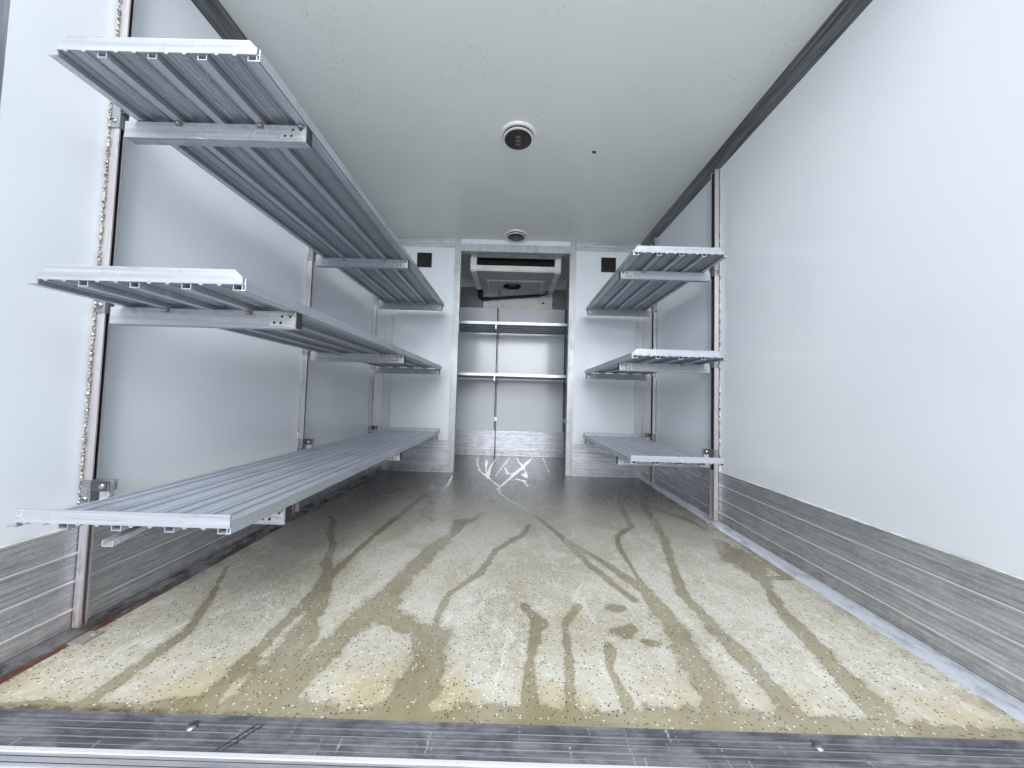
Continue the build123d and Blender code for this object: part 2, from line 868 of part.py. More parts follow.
# Condenser: a moulded housing with two fans in its front face
condenser_top = roof_top - condenser_top_gap
condenser_low = condenser_top - condenser_height
condenser_back = front_outside + edge_wall
condenser_front = front_outside + condenser_depth
with BuildPart() as condenser_housing:
    with BuildSketch(Plane.YZ.offset(-condenser_width / 2)):
        with BuildLine():
            FilletPolyline(
                (condenser_back, condenser_low),
                (condenser_front - condenser_chin, condenser_low),
                (condenser_front, condenser_low + condenser_chin_rise),
                (condenser_front - condenser_lean, condenser_top - condenser_brow_drop),
                (condenser_front - condenser_brow, condenser_top),
                (condenser_back, condenser_top),
                radius=condenser_radius,
            )
            Line((condenser_back, condenser_top), (condenser_back, condenser_low))
        make_face()
    extrude(amount=condenser_width)
    fan_z = condenser_low + (condenser_height + condenser_chin_rise - condenser_brow_drop) / 2
    with BuildSketch(Plane.XZ.offset(-condenser_front)):
        for way in (-1, 1):
            with Locations((way * condenser_fan_x, fan_z)):
                Circle(condenser_fan_radius)
                Rectangle(2 * condenser_fan_radius, condenser_fan_strut, mode=Mode.SUBTRACT)
                Rectangle(condenser_fan_strut, 2 * condenser_fan_radius, mode=Mode.SUBTRACT)
                Circle(condenser_fan_hub, mode=Mode.SUBTRACT)
    extrude(amount=condenser_fan_recess + condenser_lean, mode=Mode.SUBTRACT)
finish(condenser_housing, "condenser_housing")

# Rear doors, stored folded right round against the side walls.
# Each leaf is drawn closed, then turned about its hinge line.
pivot_x = half_out + hinge_reach
leaf_outside = rear_face - door_gap - door_thickness
pivot_y = leaf_outside - strap_thickness / 2
leaf_edge = half_out - door_edge_gap
leaf_free = door_edge_gap
open_angle = 270
hinge_rows = spaced(leaf_low + hinge_low, leaf_high - hinge_high, hinge_count)
guide_rows = spaced(leaf_low + guide_low, leaf_high - guide_high, guide_count)


def turned(part, sign):
    """Turn a leaf's piece from closed to its place against the side wall."""
    hinge_line = Axis((sign * pivot_x, pivot_y, 0), (0, 0, 1))
    return part.rotate(hinge_line, sign * open_angle)


for side, sign in sides:
    with BuildPart() as leaf_closed:
        box_between(sign * leaf_free, sign * leaf_edge, leaf_outside, rear_face - door_gap,
                    leaf_low, leaf_high)
        fillet(leaf_closed.edges().filter_by(Axis.Z), radius=door_radius)
    with BuildPart() as door_leaf:
        add(turned(leaf_closed.part, sign))
    finish(door_leaf, f"door_leaf_{side}")

    with BuildPart() as seal_closed:
        with BuildSketch(Plane.XZ.offset(-(rear_face - door_gap))):
            strip(sign * (leaf_free + seal_inset), sign * (leaf_edge - seal_inset),
                  leaf_low + seal_inset, leaf_high - seal_inset)
            strip(sign * (leaf_free + seal_inset + seal_width),
                  sign * (leaf_edge - seal_inset - seal_width),
                  leaf_low + seal_inset + seal_width, leaf_high - seal_inset - seal_width,
                  mode=Mode.SUBTRACT)
        extrude(amount=-seal_height)
    with BuildPart() as door_seal:
        add(turned(seal_closed.part, sign))
    finish(door_seal, f"door_seal_{side}")

    rod_x = sign * (leaf_free + rod_inset)
    rod_y = leaf_outside - rod_stand
    handle = floor_top + handle_z
    with BuildPart() as gear_closed:
        for middle in hinge_rows:
            box_between(sign * (pivot_x - strap_length), sign * pivot_x,
                        leaf_outside - strap_thickness, leaf_outside,
                        middle - strap_height / 2, middle + strap_height / 2)
            with Locations((sign * pivot_x, pivot_y, middle)):
                Cylinder(knuckle_radius, strap_height)
                Cylinder(pin_radius + pin_play, 2 * strap_height, mode=Mode.SUBTRACT)
        with Locations((rod_x, rod_y, (leaf_low + leaf_high) / 2)):
            Cylinder(rod_radius, leaf_high - leaf_low + 2 * rod_overrun)
        for middle in guide_rows:
            box_between(rod_x - guide_size / 2, rod_x + guide_size / 2, leaf_outside - guide_plate,
                        leaf_outside, middle - guide_size / 2, middle + guide_size / 2)
            box_between(rod_x - rod_radius - guide_wall, rod_x + rod_radius + guide_wall,
                        rod_y - rod_radius - guide_wall, leaf_outside,
                        middle - guide_size / 4, middle + guide_size / 4)
        box_between(rod_x, rod_x + sign * handle_length, rod_y - handle_thickness / 2,
                    rod_y + handle_thickness / 2, handle - handle_height / 2,
                    handle + handle_height / 2)
    with BuildPart() as door_gear:
        add(turned(gear_closed.part, sign))
    finish(door_gear, f"door_gear_{side}")

# Fixed halves of the door hinges, with their pins
ear_low = strap_height / 2 + ear_gap
with BuildPart() as hinge_feet:
    for side, sign in sides:
        for middle in hinge_rows:
            box_between(sign * half_out, sign * (half_out + hinge_plate), rear_face,
                        rear_face + hinge_foot, middle - ear_low - ear_thickness,
                        middle + ear_low + ear_thickness)
            for base in (middle - ear_low - ear_thickness, middle + ear_low):
                with BuildSketch(Plane.XY.offset(base)):
                    with BuildLine() as ear:
                        Polyline(
                            (sign * half_out, rear_face),
                            (sign * half_out, rear_face + hinge_foot),
                            (sign * (half_out + hinge_plate), rear_face + ear_root),
                            (sign * (pivot_x + knuckle_radius), pivot_y + ear_corner),
                            (sign * (pivot_x + knuckle_radius), pivot_y - ear_corner),
                            (sign * (pivot_x + ear_corner), pivot_y - knuckle_radius),
                            (sign * (pivot_x - ear_corner), pivot_y - knuckle_radius),
                            (sign * (pivot_x - knuckle_radius), pivot_y - ear_corner),
                            close=True,
                        )
                    make_face()
                extrude(amount=ear_thickness)
            with Locations((sign * pivot_x, pivot_y, middle)):
                Cylinder(pin_radius, 2 * ear_low)
finish(hinge_feet, "hinge_feet")
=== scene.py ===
import json
import math
import random

import bmesh
import bpy
import numpy as np
from mathutils import Matrix, Vector

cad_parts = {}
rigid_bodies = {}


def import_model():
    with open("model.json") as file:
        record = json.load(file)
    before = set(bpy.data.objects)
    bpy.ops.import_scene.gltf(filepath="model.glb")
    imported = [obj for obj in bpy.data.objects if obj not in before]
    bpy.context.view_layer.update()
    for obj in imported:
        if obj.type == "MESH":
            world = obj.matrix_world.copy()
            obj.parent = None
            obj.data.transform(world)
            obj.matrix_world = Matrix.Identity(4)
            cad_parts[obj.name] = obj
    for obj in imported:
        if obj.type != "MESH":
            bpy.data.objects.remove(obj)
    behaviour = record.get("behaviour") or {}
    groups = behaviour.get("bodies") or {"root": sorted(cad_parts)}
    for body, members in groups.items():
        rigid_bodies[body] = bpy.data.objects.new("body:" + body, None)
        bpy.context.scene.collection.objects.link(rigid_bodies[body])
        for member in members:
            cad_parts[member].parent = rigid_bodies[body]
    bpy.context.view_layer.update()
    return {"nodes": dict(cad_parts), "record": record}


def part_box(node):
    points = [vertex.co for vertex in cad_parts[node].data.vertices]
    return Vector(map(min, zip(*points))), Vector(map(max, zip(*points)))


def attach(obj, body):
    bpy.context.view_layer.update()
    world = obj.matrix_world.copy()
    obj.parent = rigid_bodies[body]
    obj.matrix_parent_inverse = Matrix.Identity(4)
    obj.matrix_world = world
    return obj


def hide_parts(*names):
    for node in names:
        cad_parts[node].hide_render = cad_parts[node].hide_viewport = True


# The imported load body: metres, X across, +Y to the cab, +Z up
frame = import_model()
nodes = frame["nodes"]
rng = random.Random(7)

# Places that several pieces share, read from the frame
SIDES = (("left", -1), ("right", 1))
SHELVES = ("low", "mid", "top")
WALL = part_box("side_wall_right")[0].x
ROOM_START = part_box("floor_covering")[0].y
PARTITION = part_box("corner_profiles")[1].y
FRONT_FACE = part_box("kick_plates")[1].y
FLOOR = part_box("floor_covering")[1].z
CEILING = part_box("roof_panel")[0].z
KICK_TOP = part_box("kick_plates")[1].z

# The shelves' planks, counted from the wall, with the two beads pressed into each; the cove's width
SHELF_GAP = 0.093
DECK_INNER = WALL - SHELF_GAP
PLANKS = 4
PLANK_PITCH = 0.1035
BEAD_PLACES = (0.0205, 0.0575)
COVE_WIDTH = 0.026

# Camera, fitted to the photograph
PHOTO_WIDTH = 1024
FOCAL_PIXELS = 337.3
CAMERA_PLACE = (0.0012, -2.121, 0.8733)
CAMERA_YAW = -0.0033
CAMERA_PITCH = 0.042
CAMERA_ROLL = 0.0284


def add_object(name, data):
    thing = bpy.data.objects.new(name, data)
    bpy.context.scene.collection.objects.link(thing)
    return thing


def add_mesh(name, mesh, material):
    """Add a bmesh to the scene as an object of one material."""
    data = bpy.data.meshes.new(name)
    mesh.to_mesh(data)
    mesh.free()
    data.materials.append(material)
    return add_object(name, data)


def make_camera():
    data = bpy.data.cameras.new("photo_camera")
    data.sensor_width = 36
    data.lens = data.sensor_width * FOCAL_PIXELS / PHOTO_WIDTH
    data.clip_start = 0.02
    camera = add_object("photo_camera", data)
    turn = Matrix.Rotation(-CAMERA_YAW, 4, "Z")
    tilt = Matrix.Rotation(math.pi / 2 + CAMERA_PITCH, 4, "X")
    roll = Matrix.Rotation(CAMERA_ROLL, 4, "Z")
    camera.matrix_world = Matrix.Translation(CAMERA_PLACE) @ turn @ tilt @ roll
    bpy.context.scene.camera = camera


# Finishes


def tone(red, green, blue):
    """A colour read as 0 to 255, as linear light."""
    def linear(value):
        share = value / 255
        return share / 12.92 if share <= 0.04045 else ((share + 0.055) / 1.055) ** 2.4
    return (linear(red), linear(green), linear(blue), 1.0)


class Nodes:
    """Short calls for the nodes of one tree."""

    def __init__(self, tree):
        self.tree = tree

    def add(self, kind, **settings):
        node = self.tree.nodes.new(kind)
        for key, value in settings.items():
            setattr(node, key, value)
        return node

    def feed(self, socket, value):
        if isinstance(value, bpy.types.NodeSocket):
            self.tree.links.new(value, socket)
        else:
            socket.default_value = value

    def fill(self, node, **values):
        """Feed a node's inputs by name, an underscore standing for a space."""
        for key, value in values.items():
            self.feed(node.inputs[key.replace("_", " ")], value)
        return node

    def calc(self, operation, first, second=0.0):
        node = self.add("ShaderNodeMath", operation=operation)
        self.feed(node.inputs[0], first)
        self.feed(node.inputs[1], second)
        return node.outputs[0]

    def seen(self):
        """1 for the rays that show something to the camera, by gloss or glass too."""
        ray = self.add("ShaderNodeLightPath").outputs
        direct = self.calc("MAXIMUM", ray["Is Camera Ray"], ray["Is Transmission Ray"])
        return self.calc("MAXIMUM", direct, ray["Is Glossy Ray"])


class Finish(Nodes):
    """A procedural material whose colour is painted in layers."""

    def __init__(self, name, **plain):
        self.material = bpy.data.materials.new(name)
        self.material.use_nodes = True
        super().__init__(self.material.node_tree)
        self.shader = self.fill(self.tree.nodes["Principled BSDF"], **plain)
        self.place = self.add("ShaderNodeTexCoord").outputs["Object"]
        self.split = None
        self.normal = None
        self.colour = None

    def stretched(self, scale):
        """The object's own place, stretched along its axes."""
        node = self.add("ShaderNodeMapping")
        return self.fill(node, Vector=self.place, Scale=scale).outputs["Vector"]

    def noise(self, scale, detail=3.0, roughness=0.55, stretch=(1, 1, 1), twist=0.0):
        node = self.add("ShaderNodeTexNoise")
        self.fill(node, Vector=self.stretched(stretch), Scale=scale, Detail=detail,
                  Roughness=roughness, Distortion=twist)
        return node.outputs["Fac"]

    def cells(self, scale, feature="F1"):
        """Voronoi cells: their outputs, so that a caller takes the distance or the colour."""
        node = self.add("ShaderNodeTexVoronoi", feature=feature)
        return self.fill(node, Vector=self.place, Scale=scale).outputs

    def axis(self, letter):
        if self.split is None:
            self.split = self.fill(self.add("ShaderNodeSeparateXYZ"), Vector=self.place)
        return self.split.outputs[letter]

    def times(self, first, *others):
        """The product of sockets and numbers."""
        for other in others:
            first = self.calc("MULTIPLY", first, other)
        return first

    def gap(self, value, place):
        """How far value is from a place, either way."""
        return self.calc("ABSOLUTE", self.calc("SUBTRACT", value, place))

    def phase(self, value, pitch):
        """How far value has come through its pitch, from 0 to 1."""
        return self.calc("FRACT", self.calc("DIVIDE", value, pitch))

    def step(self, value, low, high, bottom=0.0, top=1.0):
        """A smooth rise from bottom to top while value goes from low to high."""
        node = self.add("ShaderNodeMapRange", interpolation_type="SMOOTHSTEP")
        self.fill(node, Value=value, From_Min=low, From_Max=high, To_Min=bottom, To_Max=top)
        return node.outputs["Result"]

    def mix(self, factor, first, second):
        node = self.add("ShaderNodeMix", data_type="RGBA")
        self.feed(node.inputs["Factor"], factor)
        self.feed(node.inputs[6], first)
        self.feed(node.inputs[7], second)
        return node.outputs[2]

    def base(self, first, second, share):
        self.colour = self.mix(share, first, second)

    def paint(self, layer, *shares):
        """Lay a colour over what is there, as thick as the product of the shares."""
        self.colour = self.mix(self.times(*shares), self.colour, layer)

    def relief(self, height, depth, strength=1.0):
        """Raise the surface by height, a full step being depth metres."""
        node = self.fill(self.add("ShaderNodeBump"), Strength=strength, Distance=depth, Height=height)
        if self.normal is not None:
            self.fill(node, Normal=self.normal)
        self.normal = node.outputs["Normal"]

    def close(self, roughness, **more):
        self.fill(self.shader, Base_Color=self.colour, Roughness=roughness, **more)
        if self.normal is not None:
            self.fill(self.shader, Normal=self.normal)
        return self.material


def gel_coat(name, pale, dull, gloss):
    """White reinforced-plastic skin: slow panel waves, faint soiling, small marks and scuffs."""
    skin = Finish(name, IOR=1.5)
    clouds = skin.noise(1.1, 3, 0.55)
    skin.base(pale, dull, skin.step(clouds, 0.4, 0.72, 0, 0.55))
    streaks = skin.noise(6, 4, 0.6, stretch=(1, 1, 0.1))
    skin.paint(dull, skin.step(streaks, 0.5, 0.75, 0, 0.2))
    small = skin.step(skin.cells(9)["Distance"], 0.012, 0.03, 1, 0)
    rare = skin.step(skin.noise(3.1, 1, 0.5), 0.6, 0.64)
    skin.paint(tone(120, 117, 112), small, rare, 0.5)
    scuffs = skin.step(skin.noise(34, 2, 0.5, stretch=(0.3, 0.3, 5), twist=0.6), 0.7, 0.8)
    skin.paint(tone(170, 172, 175), scuffs, 0.2)
    roughness = skin.calc("ADD", skin.step(clouds, 0.3, 0.8, gloss, gloss + 0.1), skin.times(scuffs, 0.2))
    skin.relief(skin.noise(2.2, 1, 0.4), 0.004, 0.35)
    skin.relief(skin.noise(240, 2, 0.5), 0.0002, 0.25)
    return skin.close(roughness)


def ceiling_skin():
    """The same skin overhead, greyer, with faint patches, drips and specks of dirt."""
    skin = Finish("ceiling_skin", IOR=1.48)
    clouds = skin.noise(1.2, 2, 0.5)
    skin.base(tone(224, 227, 223), tone(215, 218, 213), skin.step(clouds, 0.2, 0.8))
    speck = skin.step(skin.noise(120, 3, 0.7), 0.56, 0.66)
    where = skin.step(skin.noise(3.4, 5, 0.7), 0.49, 0.6)
    skin.paint(tone(132, 130, 120), speck, where, 0.42)
    drips = skin.step(skin.noise(14, 5, 0.75), 0.64, 0.74)
    skin.paint(tone(168, 165, 152), drips, 0.16)
    skin.relief(skin.noise(2, 1, 0.4), 0.003, 0.3)
    skin.relief(skin.noise(260, 2, 0.5), 0.0002, 0.3)
    return skin.close(skin.step(clouds, 0.2, 0.8, 0.28, 0.34))


def floor_resin():
    """Resin screed with dark and pale chips; the stored field 'run' marks the wet streams."""
    resin = Finish("floor_resin", IOR=1.48, Coat_IOR=1.33, Coat_Roughness=0.03)
    across, along = resin.axis("X"), resin.axis("Y")
    grain = resin.noise(70, 4, 0.7)
    patches = resin.noise(3.1, 6, 0.66, twist=0.5)
    resin.base(tone(190, 187, 176), tone(168, 162, 145), resin.step(patches, 0.38, 0.64))
    resin.paint(tone(218, 215, 206), resin.step(grain, 0.35, 0.75, 0, 0.4))
    worn = resin.step(resin.noise(13, 6, 0.72, stretch=(1, 0.45, 1), twist=0.9), 0.55, 0.63)
    resin.paint(tone(226, 226, 220), worn, 0.35)
    soiled = resin.step(resin.noise(8, 5, 0.7, stretch=(1, 0.6, 1)), 0.54, 0.66)
    resin.paint(tone(164, 154, 122), soiled, 0.45)
    edge_band = resin.step(along, ROOM_START + 0.20, ROOM_START + 0.01)
    resin.paint(tone(188, 168, 118), edge_band, resin.step(patches, 0.4, 0.58, 0.1, 0.5))

    # Wet and damp floor by the field, its edge made ragged; darker towards the far end as painted shade and
    # dark reflection, and the far streams pale as a painted reflection
    ragged = resin.times(resin.calc("SUBTRACT", resin.noise(17, 6, 0.7), 0.5), 3.2)
    stored = resin.add("ShaderNodeAttribute", attribute_name="run").outputs["Fac"]
    edge = resin.calc("ADD", stored, ragged)
    wet = resin.step(edge, 0.9, 0.97, 1, 0)
    damp = resin.step(edge, 0.9, 1.9, 0.3, 0)
    rim = resin.times(resin.step(edge, 0.8, 0.98), resin.step(edge, 0.98, 1.25, 1, 0))
    # Painted shade and dark reflection: the floor darker, and glossier, towards the far end
    deep = resin.step(along, -1.35, 0.5)
    wet_tone = resin.mix(resin.step(patches, 0.35, 0.7), tone(146, 137, 110), tone(118, 109, 82))
    resin.paint(wet_tone, resin.calc("MAXIMUM", resin.times(wet, 0.78), damp))
    resin.paint(tone(96, 86, 60), rim, 0.4)
    resin.paint(tone(72, 71, 66), deep, 0.86)
    # Painted reflection: the streams towards the far end pale, near white
    resin.paint(tone(236, 235, 224), wet, resin.step(along, -0.05, 0.4), 0.85)

    # Chips, grime beside the coves, and a rusty line at the rear edge
    chips = resin.cells(190)
    size = resin.step(chips["Distance"], 0.3, 0.42, 1, 0)
    pick = resin.fill(resin.add("ShaderNodeSeparateColor"), Color=chips["Color"]).outputs
    resin.paint(tone(240, 238, 228), size, resin.step(pick["Green"], 0.9, 0.92), 0.7)
    resin.paint(tone(58, 50, 38), size, resin.step(pick["Red"], 0.81, 0.82), 0.85)
    margin = resin.calc("SUBTRACT", WALL - COVE_WIDTH, resin.calc("ABSOLUTE", across))
    grime = resin.step(resin.noise(17, 5, 0.7), 0.4, 0.62)
    resin.paint(tone(96, 80, 58), resin.step(margin, 0.07, 0.0), grime, 0.55)
    rear_line = resin.step(along, ROOM_START + 0.014, ROOM_START + 0.003)
    broken = resin.step(resin.noise(31, 4, 0.7), 0.34, 0.56)
    resin.paint(tone(84, 54, 38), rear_line, broken, resin.step(across, -0.3, -0.75, 0.15, 1), 0.8)

    dry = resin.calc("SUBTRACT", 1.0, wet)
    resin.relief(resin.times(resin.noise(210, 3, 0.6), dry), 0.0005, 0.6)
    resin.relief(resin.times(size, dry), 0.0003, 0.4)
    resin.relief(wet, 0.001, 0.4)
    roughness = resin.times(resin.step(grain, 0.3, 0.8, 0.42, 0.62), resin.step(deep, 0, 1, 1, 0.5))
    return resin.close(roughness, Coat_Weight=wet)


def kick_plate():
    """Washed aluminium: mottled blotches, drawn lines, joints with a painted highlight, and grime near the
    floor.
    """
    plate = Finish("kick_plate", Metallic=0.8)
    blotches = plate.noise(46, 6, 0.72, stretch=(0.3, 0.3, 1.3), twist=0.3)
    plate.base(tone(226, 228, 236), tone(192, 195, 204), plate.step(blotches, 0.36, 0.66))
    bands = plate.noise(2.2, 3, 0.6, stretch=(1, 1, 0.3))
    plate.paint(tone(164, 168, 178), plate.step(bands, 0.42, 0.68, 0, 0.3))
    lines = plate.noise(70, 4, 0.65, stretch=(0.03, 0.03, 2.4))
    plate.paint(tone(140, 143, 148), plate.step(lines, 0.44, 0.64, 0, 0.32))
    plate.paint(tone(242, 243, 244), plate.step(plate.noise(210, 3, 0.6), 0.56, 0.66), 0.45)
    height = plate.calc("SUBTRACT", plate.axis("Z"), FLOOR)
    grime = plate.step(plate.noise(30, 4, 0.7), 0.35, 0.7)
    plate.paint(tone(128, 118, 106), plate.step(height, 0.1, 0), grime, 0.5)
    # Twenty fine grooves up the plate, and four boards with a painted highlight along the joint at the foot
    # of each
    groove = plate.step(plate.gap(plate.phase(height, (KICK_TOP - FLOOR) / 20), 0.5), 0.03, 0.1)
    broken = plate.step(plate.noise(9, 3, 0.6, stretch=(1, 1, 6)), 0.4, 0.6)
    plate.paint(tone(96, 97, 102), plate.calc("SUBTRACT", 1.0, groove), broken, 0.45)
    board = (KICK_TOP - FLOOR) / 4
    place = plate.times(plate.phase(height, board), board)
    joint = plate.times(plate.step(place, 0.0005, 0.0015), plate.step(place, 0.0035, 0.005, 1, 0))
    # Painted highlight, near white, along each joint
    plate.paint(tone(250, 250, 250), joint, 0.9)
    plate.relief(groove, 0.001, 0.6)
    plate.relief(lines, 0.0005, 0.4)
    plate.relief(blotches, 0.0006, 0.3)
    return plate.close(plate.step(blotches, 0.3, 0.75, 0.3, 0.5))


# Across a plank, from its inner edge: the rib below it, how soft its edges are, its middle, the two painted
# shadow lines in its corners, and the painted shadow beside each bead
RIB_START = 0.0817
RIB_END = 0.1033
RIB_SOFT = 0.0011
RIB_MIDDLE = 0.0925
SHADOW_LINES = (0.0795, 0.0022)
BEAD_SHADOW = 0.0062


def shelf_plank(name, across, inner):
    """Ribbed plank extrusion: die lines along it, dust and scratches, with painted light: lighter tops,
    pressed grooves dark with painted shade, darker undersides with lit rib bottoms and shadow lines, and a
    highlight along the outer edge.

    across is the axis over the planks, and inner the place of their inner edge on it."""
    plank = Finish(name, Metallic=0.7)
    over_x = across == "X"
    lines = plank.noise(6, 4, 0.7, stretch=(30, 0.5, 30) if over_x else (0.5, 30, 30))
    plank.base(tone(192, 196, 204), tone(160, 165, 174), plank.step(lines, 0.35, 0.68))
    normal = plank.add("ShaderNodeNewGeometry").outputs["Normal"]
    facing = plank.fill(plank.add("ShaderNodeSeparateXYZ"), Vector=normal).outputs["Z"]
    top = plank.step(facing, 0.3, 0.7)
    under = plank.step(facing, -0.3, -0.8)
    # Painted light: lighter on top, where the light falls, and painted shade underneath
    plank.paint(tone(218, 224, 235), top, 0.75)
    plank.paint(tone(128, 132, 140), under, 0.35)
    depth = plank.calc("SUBTRACT", inner, plank.calc("ABSOLUTE", plank.axis(across)))
    end = PLANKS * PLANK_PITCH
    # Painted highlight along the shelf's outer edge
    plank.paint(tone(216, 222, 231), plank.step(depth, end - 0.006, end - 0.003), 0.7)
    plank.paint(tone(140, 145, 154), plank.step(plank.noise(7, 5, 0.65), 0.48, 0.72, 0, 0.4))
    plank.paint(tone(240, 242, 245), plank.step(plank.noise(170, 2, 0.5), 0.64, 0.72), 0.4)

    place = plank.times(plank.phase(depth, PLANK_PITCH), PLANK_PITCH)

    def line(middle, core, rim):
        """1 along a line across each plank, falling to 0 at its rim."""
        return plank.step(plank.gap(place, middle), core, rim, 1, 0)

    rib = plank.times(plank.step(place, RIB_START, RIB_START + RIB_SOFT),
                      plank.step(place, RIB_END - RIB_SOFT, RIB_END, 1, 0))
    # Painted light on the lit bottoms of the ribs
    plank.paint(tone(206, 210, 217), rib, under, 0.6)
    # Painted shadow lines in the corners beside the rib and at the plank's edge
    for corner in SHADOW_LINES:
        plank.paint(tone(70, 74, 82), line(corner, 0.001, 0.003), under, 0.6)
    # Painted shadow beside each bead underneath, and painted shade in the pressed grooves on top
    for bead in BEAD_PLACES:
        plank.paint(tone(78, 82, 90), line(bead - BEAD_SHADOW, 0.0008, 0.0022), under, 0.5)
        plank.paint(tone(78, 82, 92), line(bead, 0.0015, 0.004), top, 0.75)
    plank.paint(tone(112, 116, 124), plank.step(plank.noise(320, 2, 0.6), 0.4, 0.75, 0, 0.35))
    scratches = plank.noise(26, 3, 0.6, stretch=(9, 1, 1) if over_x else (1, 9, 1))
    plank.paint(tone(244, 245, 247), plank.step(scratches, 0.66, 0.72), 0.35)
    plank.relief(lines, 0.0004, 0.3)
    return plank.close(plank.step(lines, 0.3, 0.7, 0.36, 0.5))


def bare_aluminium(name, pale, dull, rough, stain, long_axis, metallic):
    """Mill-finish section, drawn along one axis, with scratches, dents and stains."""
    metal = Finish(name, Metallic=metallic)
    stretch = {"X": (0.6, 24, 24), "Z": (24, 24, 0.6)}[long_axis]
    lines = metal.noise(5, 4, 0.65, stretch=stretch)
    metal.base(pale, dull, metal.step(lines, 0.35, 0.7))
    blotches = metal.noise(19, 6, 0.72, twist=0.5)
    metal.paint(stain, metal.step(blotches, 0.54, 0.7, 0, 0.45))
    scratch = metal.step(metal.cells(30, "DISTANCE_TO_EDGE")["Distance"], 0.006, 0.014, 1, 0)
    metal.paint(tone(246, 247, 248), scratch, metal.step(metal.noise(8, 2, 0.5), 0.57, 0.62), 0.5)
    metal.relief(lines, 0.0003, 0.3)
    metal.relief(metal.noise(60, 3, 0.6), 0.0006, 0.25)
    return metal.close(metal.step(blotches, 0.3, 0.75, rough, rough + 0.18))


def upright_metal():
    """Wall uprights: pale pinkish anodised metal, soiled, with rust blooms at the left feet."""
    metal = Finish("upright_metal")
    lines = metal.noise(5, 4, 0.65, stretch=(24, 24, 0.6))
    metal.base(tone(200, 197, 199), tone(178, 173, 176), metal.step(lines, 0.35, 0.7))
    dirt = metal.noise(34, 5, 0.75, stretch=(1, 1, 0.5), twist=0.4)
    metal.paint(tone(128, 119, 116), metal.step(dirt, 0.56, 0.7, 0, 0.5))
    low = metal.step(metal.axis("Z"), FLOOR + 0.14, FLOOR + 0.01)
    left = metal.step(metal.axis("X"), 0.2, -0.2, 0.4, 1)
    rust = metal.times(low, metal.step(dirt, 0.47, 0.58), left)
    metal.paint(tone(124, 74, 48), rust)
    metal.relief(dirt, 0.0005, 0.3)
    return metal.close(metal.step(dirt, 0.35, 0.7, 0.32, 0.5), Metallic=metal.step(rust, 0, 1, 0.6, 0.1))


def painted_steel(name, paint, chip, rough):
    """Painted steel: worn patches in a second tone under a thin brown dust."""
    steel = Finish(name, Specular_IOR_Level=0.4)
    wear = steel.noise(14, 5, 0.7, twist=0.4)
    steel.base(paint, chip, steel.step(wear, 0.6, 0.7))
    steel.paint(tone(120, 112, 100), steel.step(steel.noise(4, 3, 0.6), 0.4, 0.75, 0, 0.35))
    steel.relief(steel.noise(180, 2, 0.5), 0.0004, 0.4)
    steel.relief(wear, 0.0006, 0.3)
    return steel.close(steel.step(wear, 0.3, 0.7, rough, rough + 0.2))


def moulded(name, pale, dull, rough, grain=420):
    """Moulded plastic or rubber: fine grain, with dust in patches and spots."""
    plastic = Finish(name, IOR=1.46)
    dust = plastic.noise(7, 4, 0.65)
    plastic.base(pale, dull, plastic.step(dust, 0.4, 0.7))
    plastic.paint(dull, plastic.step(plastic.noise(70, 3, 0.6), 0.66, 0.74), 0.4)
    plastic.relief(plastic.noise(grain, 2, 0.5), 0.0003, 0.35)
    return plastic.close(plastic.step(dust, 0.3, 0.7, rough, rough + 0.15))


# The cooler's belly, painted grey as shade: its level under the ceiling, and its middle and half width
# between the pods
BELLY_DROP = 0.2095
BELLY_MIDDLE = -0.005
BELLY_HALF = 0.3385
BELLY_SOFT = 0.001


def cooler_casing():
    """Off-white moulded casing of the cooler, painted dull grey as shade underneath between its end pods."""
    plastic = Finish("cooler_casing", IOR=1.46)
    dust = plastic.noise(7, 4, 0.65)
    plastic.base(tone(224, 225, 222), tone(202, 203, 199), plastic.step(dust, 0.4, 0.7))
    below = plastic.step(plastic.axis("Z"), CEILING - BELLY_DROP, CEILING - BELLY_DROP - BELLY_SOFT)
    between = plastic.step(plastic.gap(plastic.axis("X"), BELLY_MIDDLE), BELLY_HALF, BELLY_HALF - BELLY_SOFT)
    # Painted shade: the underside between the pods, grey
    plastic.paint(plastic.mix(dust, tone(170, 171, 168), tone(140, 141, 138)), below, between)
    plastic.paint(tone(150, 150, 146), plastic.step(plastic.noise(70, 3, 0.6), 0.66, 0.74), 0.3)
    plastic.relief(plastic.noise(420, 2, 0.5), 0.0003, 0.35)
    return plastic.close(plastic.step(dust, 0.3, 0.7, 0.38, 0.52))


def cove_seal():
    """Pale sealing strip: clean on the right, darker along the left wall with dirt and painted shade, rusty
    at its rear end.
    """
    strip = Finish("cove_seal", Metallic=0.35)
    soil = strip.noise(40, 5, 0.7, stretch=(1, 0.3, 1))
    strip.base(tone(208, 212, 221), tone(170, 173, 182), strip.step(soil, 0.46, 0.7))
    left = strip.step(strip.axis("X"), 0.2, -0.2)
    # Along the left wall the strip is darker: dirt, and painted shade
    worn = strip.mix(strip.step(soil, 0.4, 0.62), tone(134, 134, 137), tone(78, 74, 71))
    inset = strip.calc("SUBTRACT", WALL, strip.calc("ABSOLUTE", strip.axis("X")))
    rust = strip.times(strip.step(strip.axis("Y"), -0.95, -1.25),
                       strip.step(inset, COVE_WIDTH * 0.55, COVE_WIDTH * 0.95),
                       strip.step(soil, 0.36, 0.56, 0.25, 0.9))
    strip.paint(strip.mix(rust, worn, tone(104, 62, 44)), left)
    strip.relief(soil, 0.0010, 0.4)
    return strip.close(strip.step(soil, 0.3, 0.7, 0.36, 0.6))


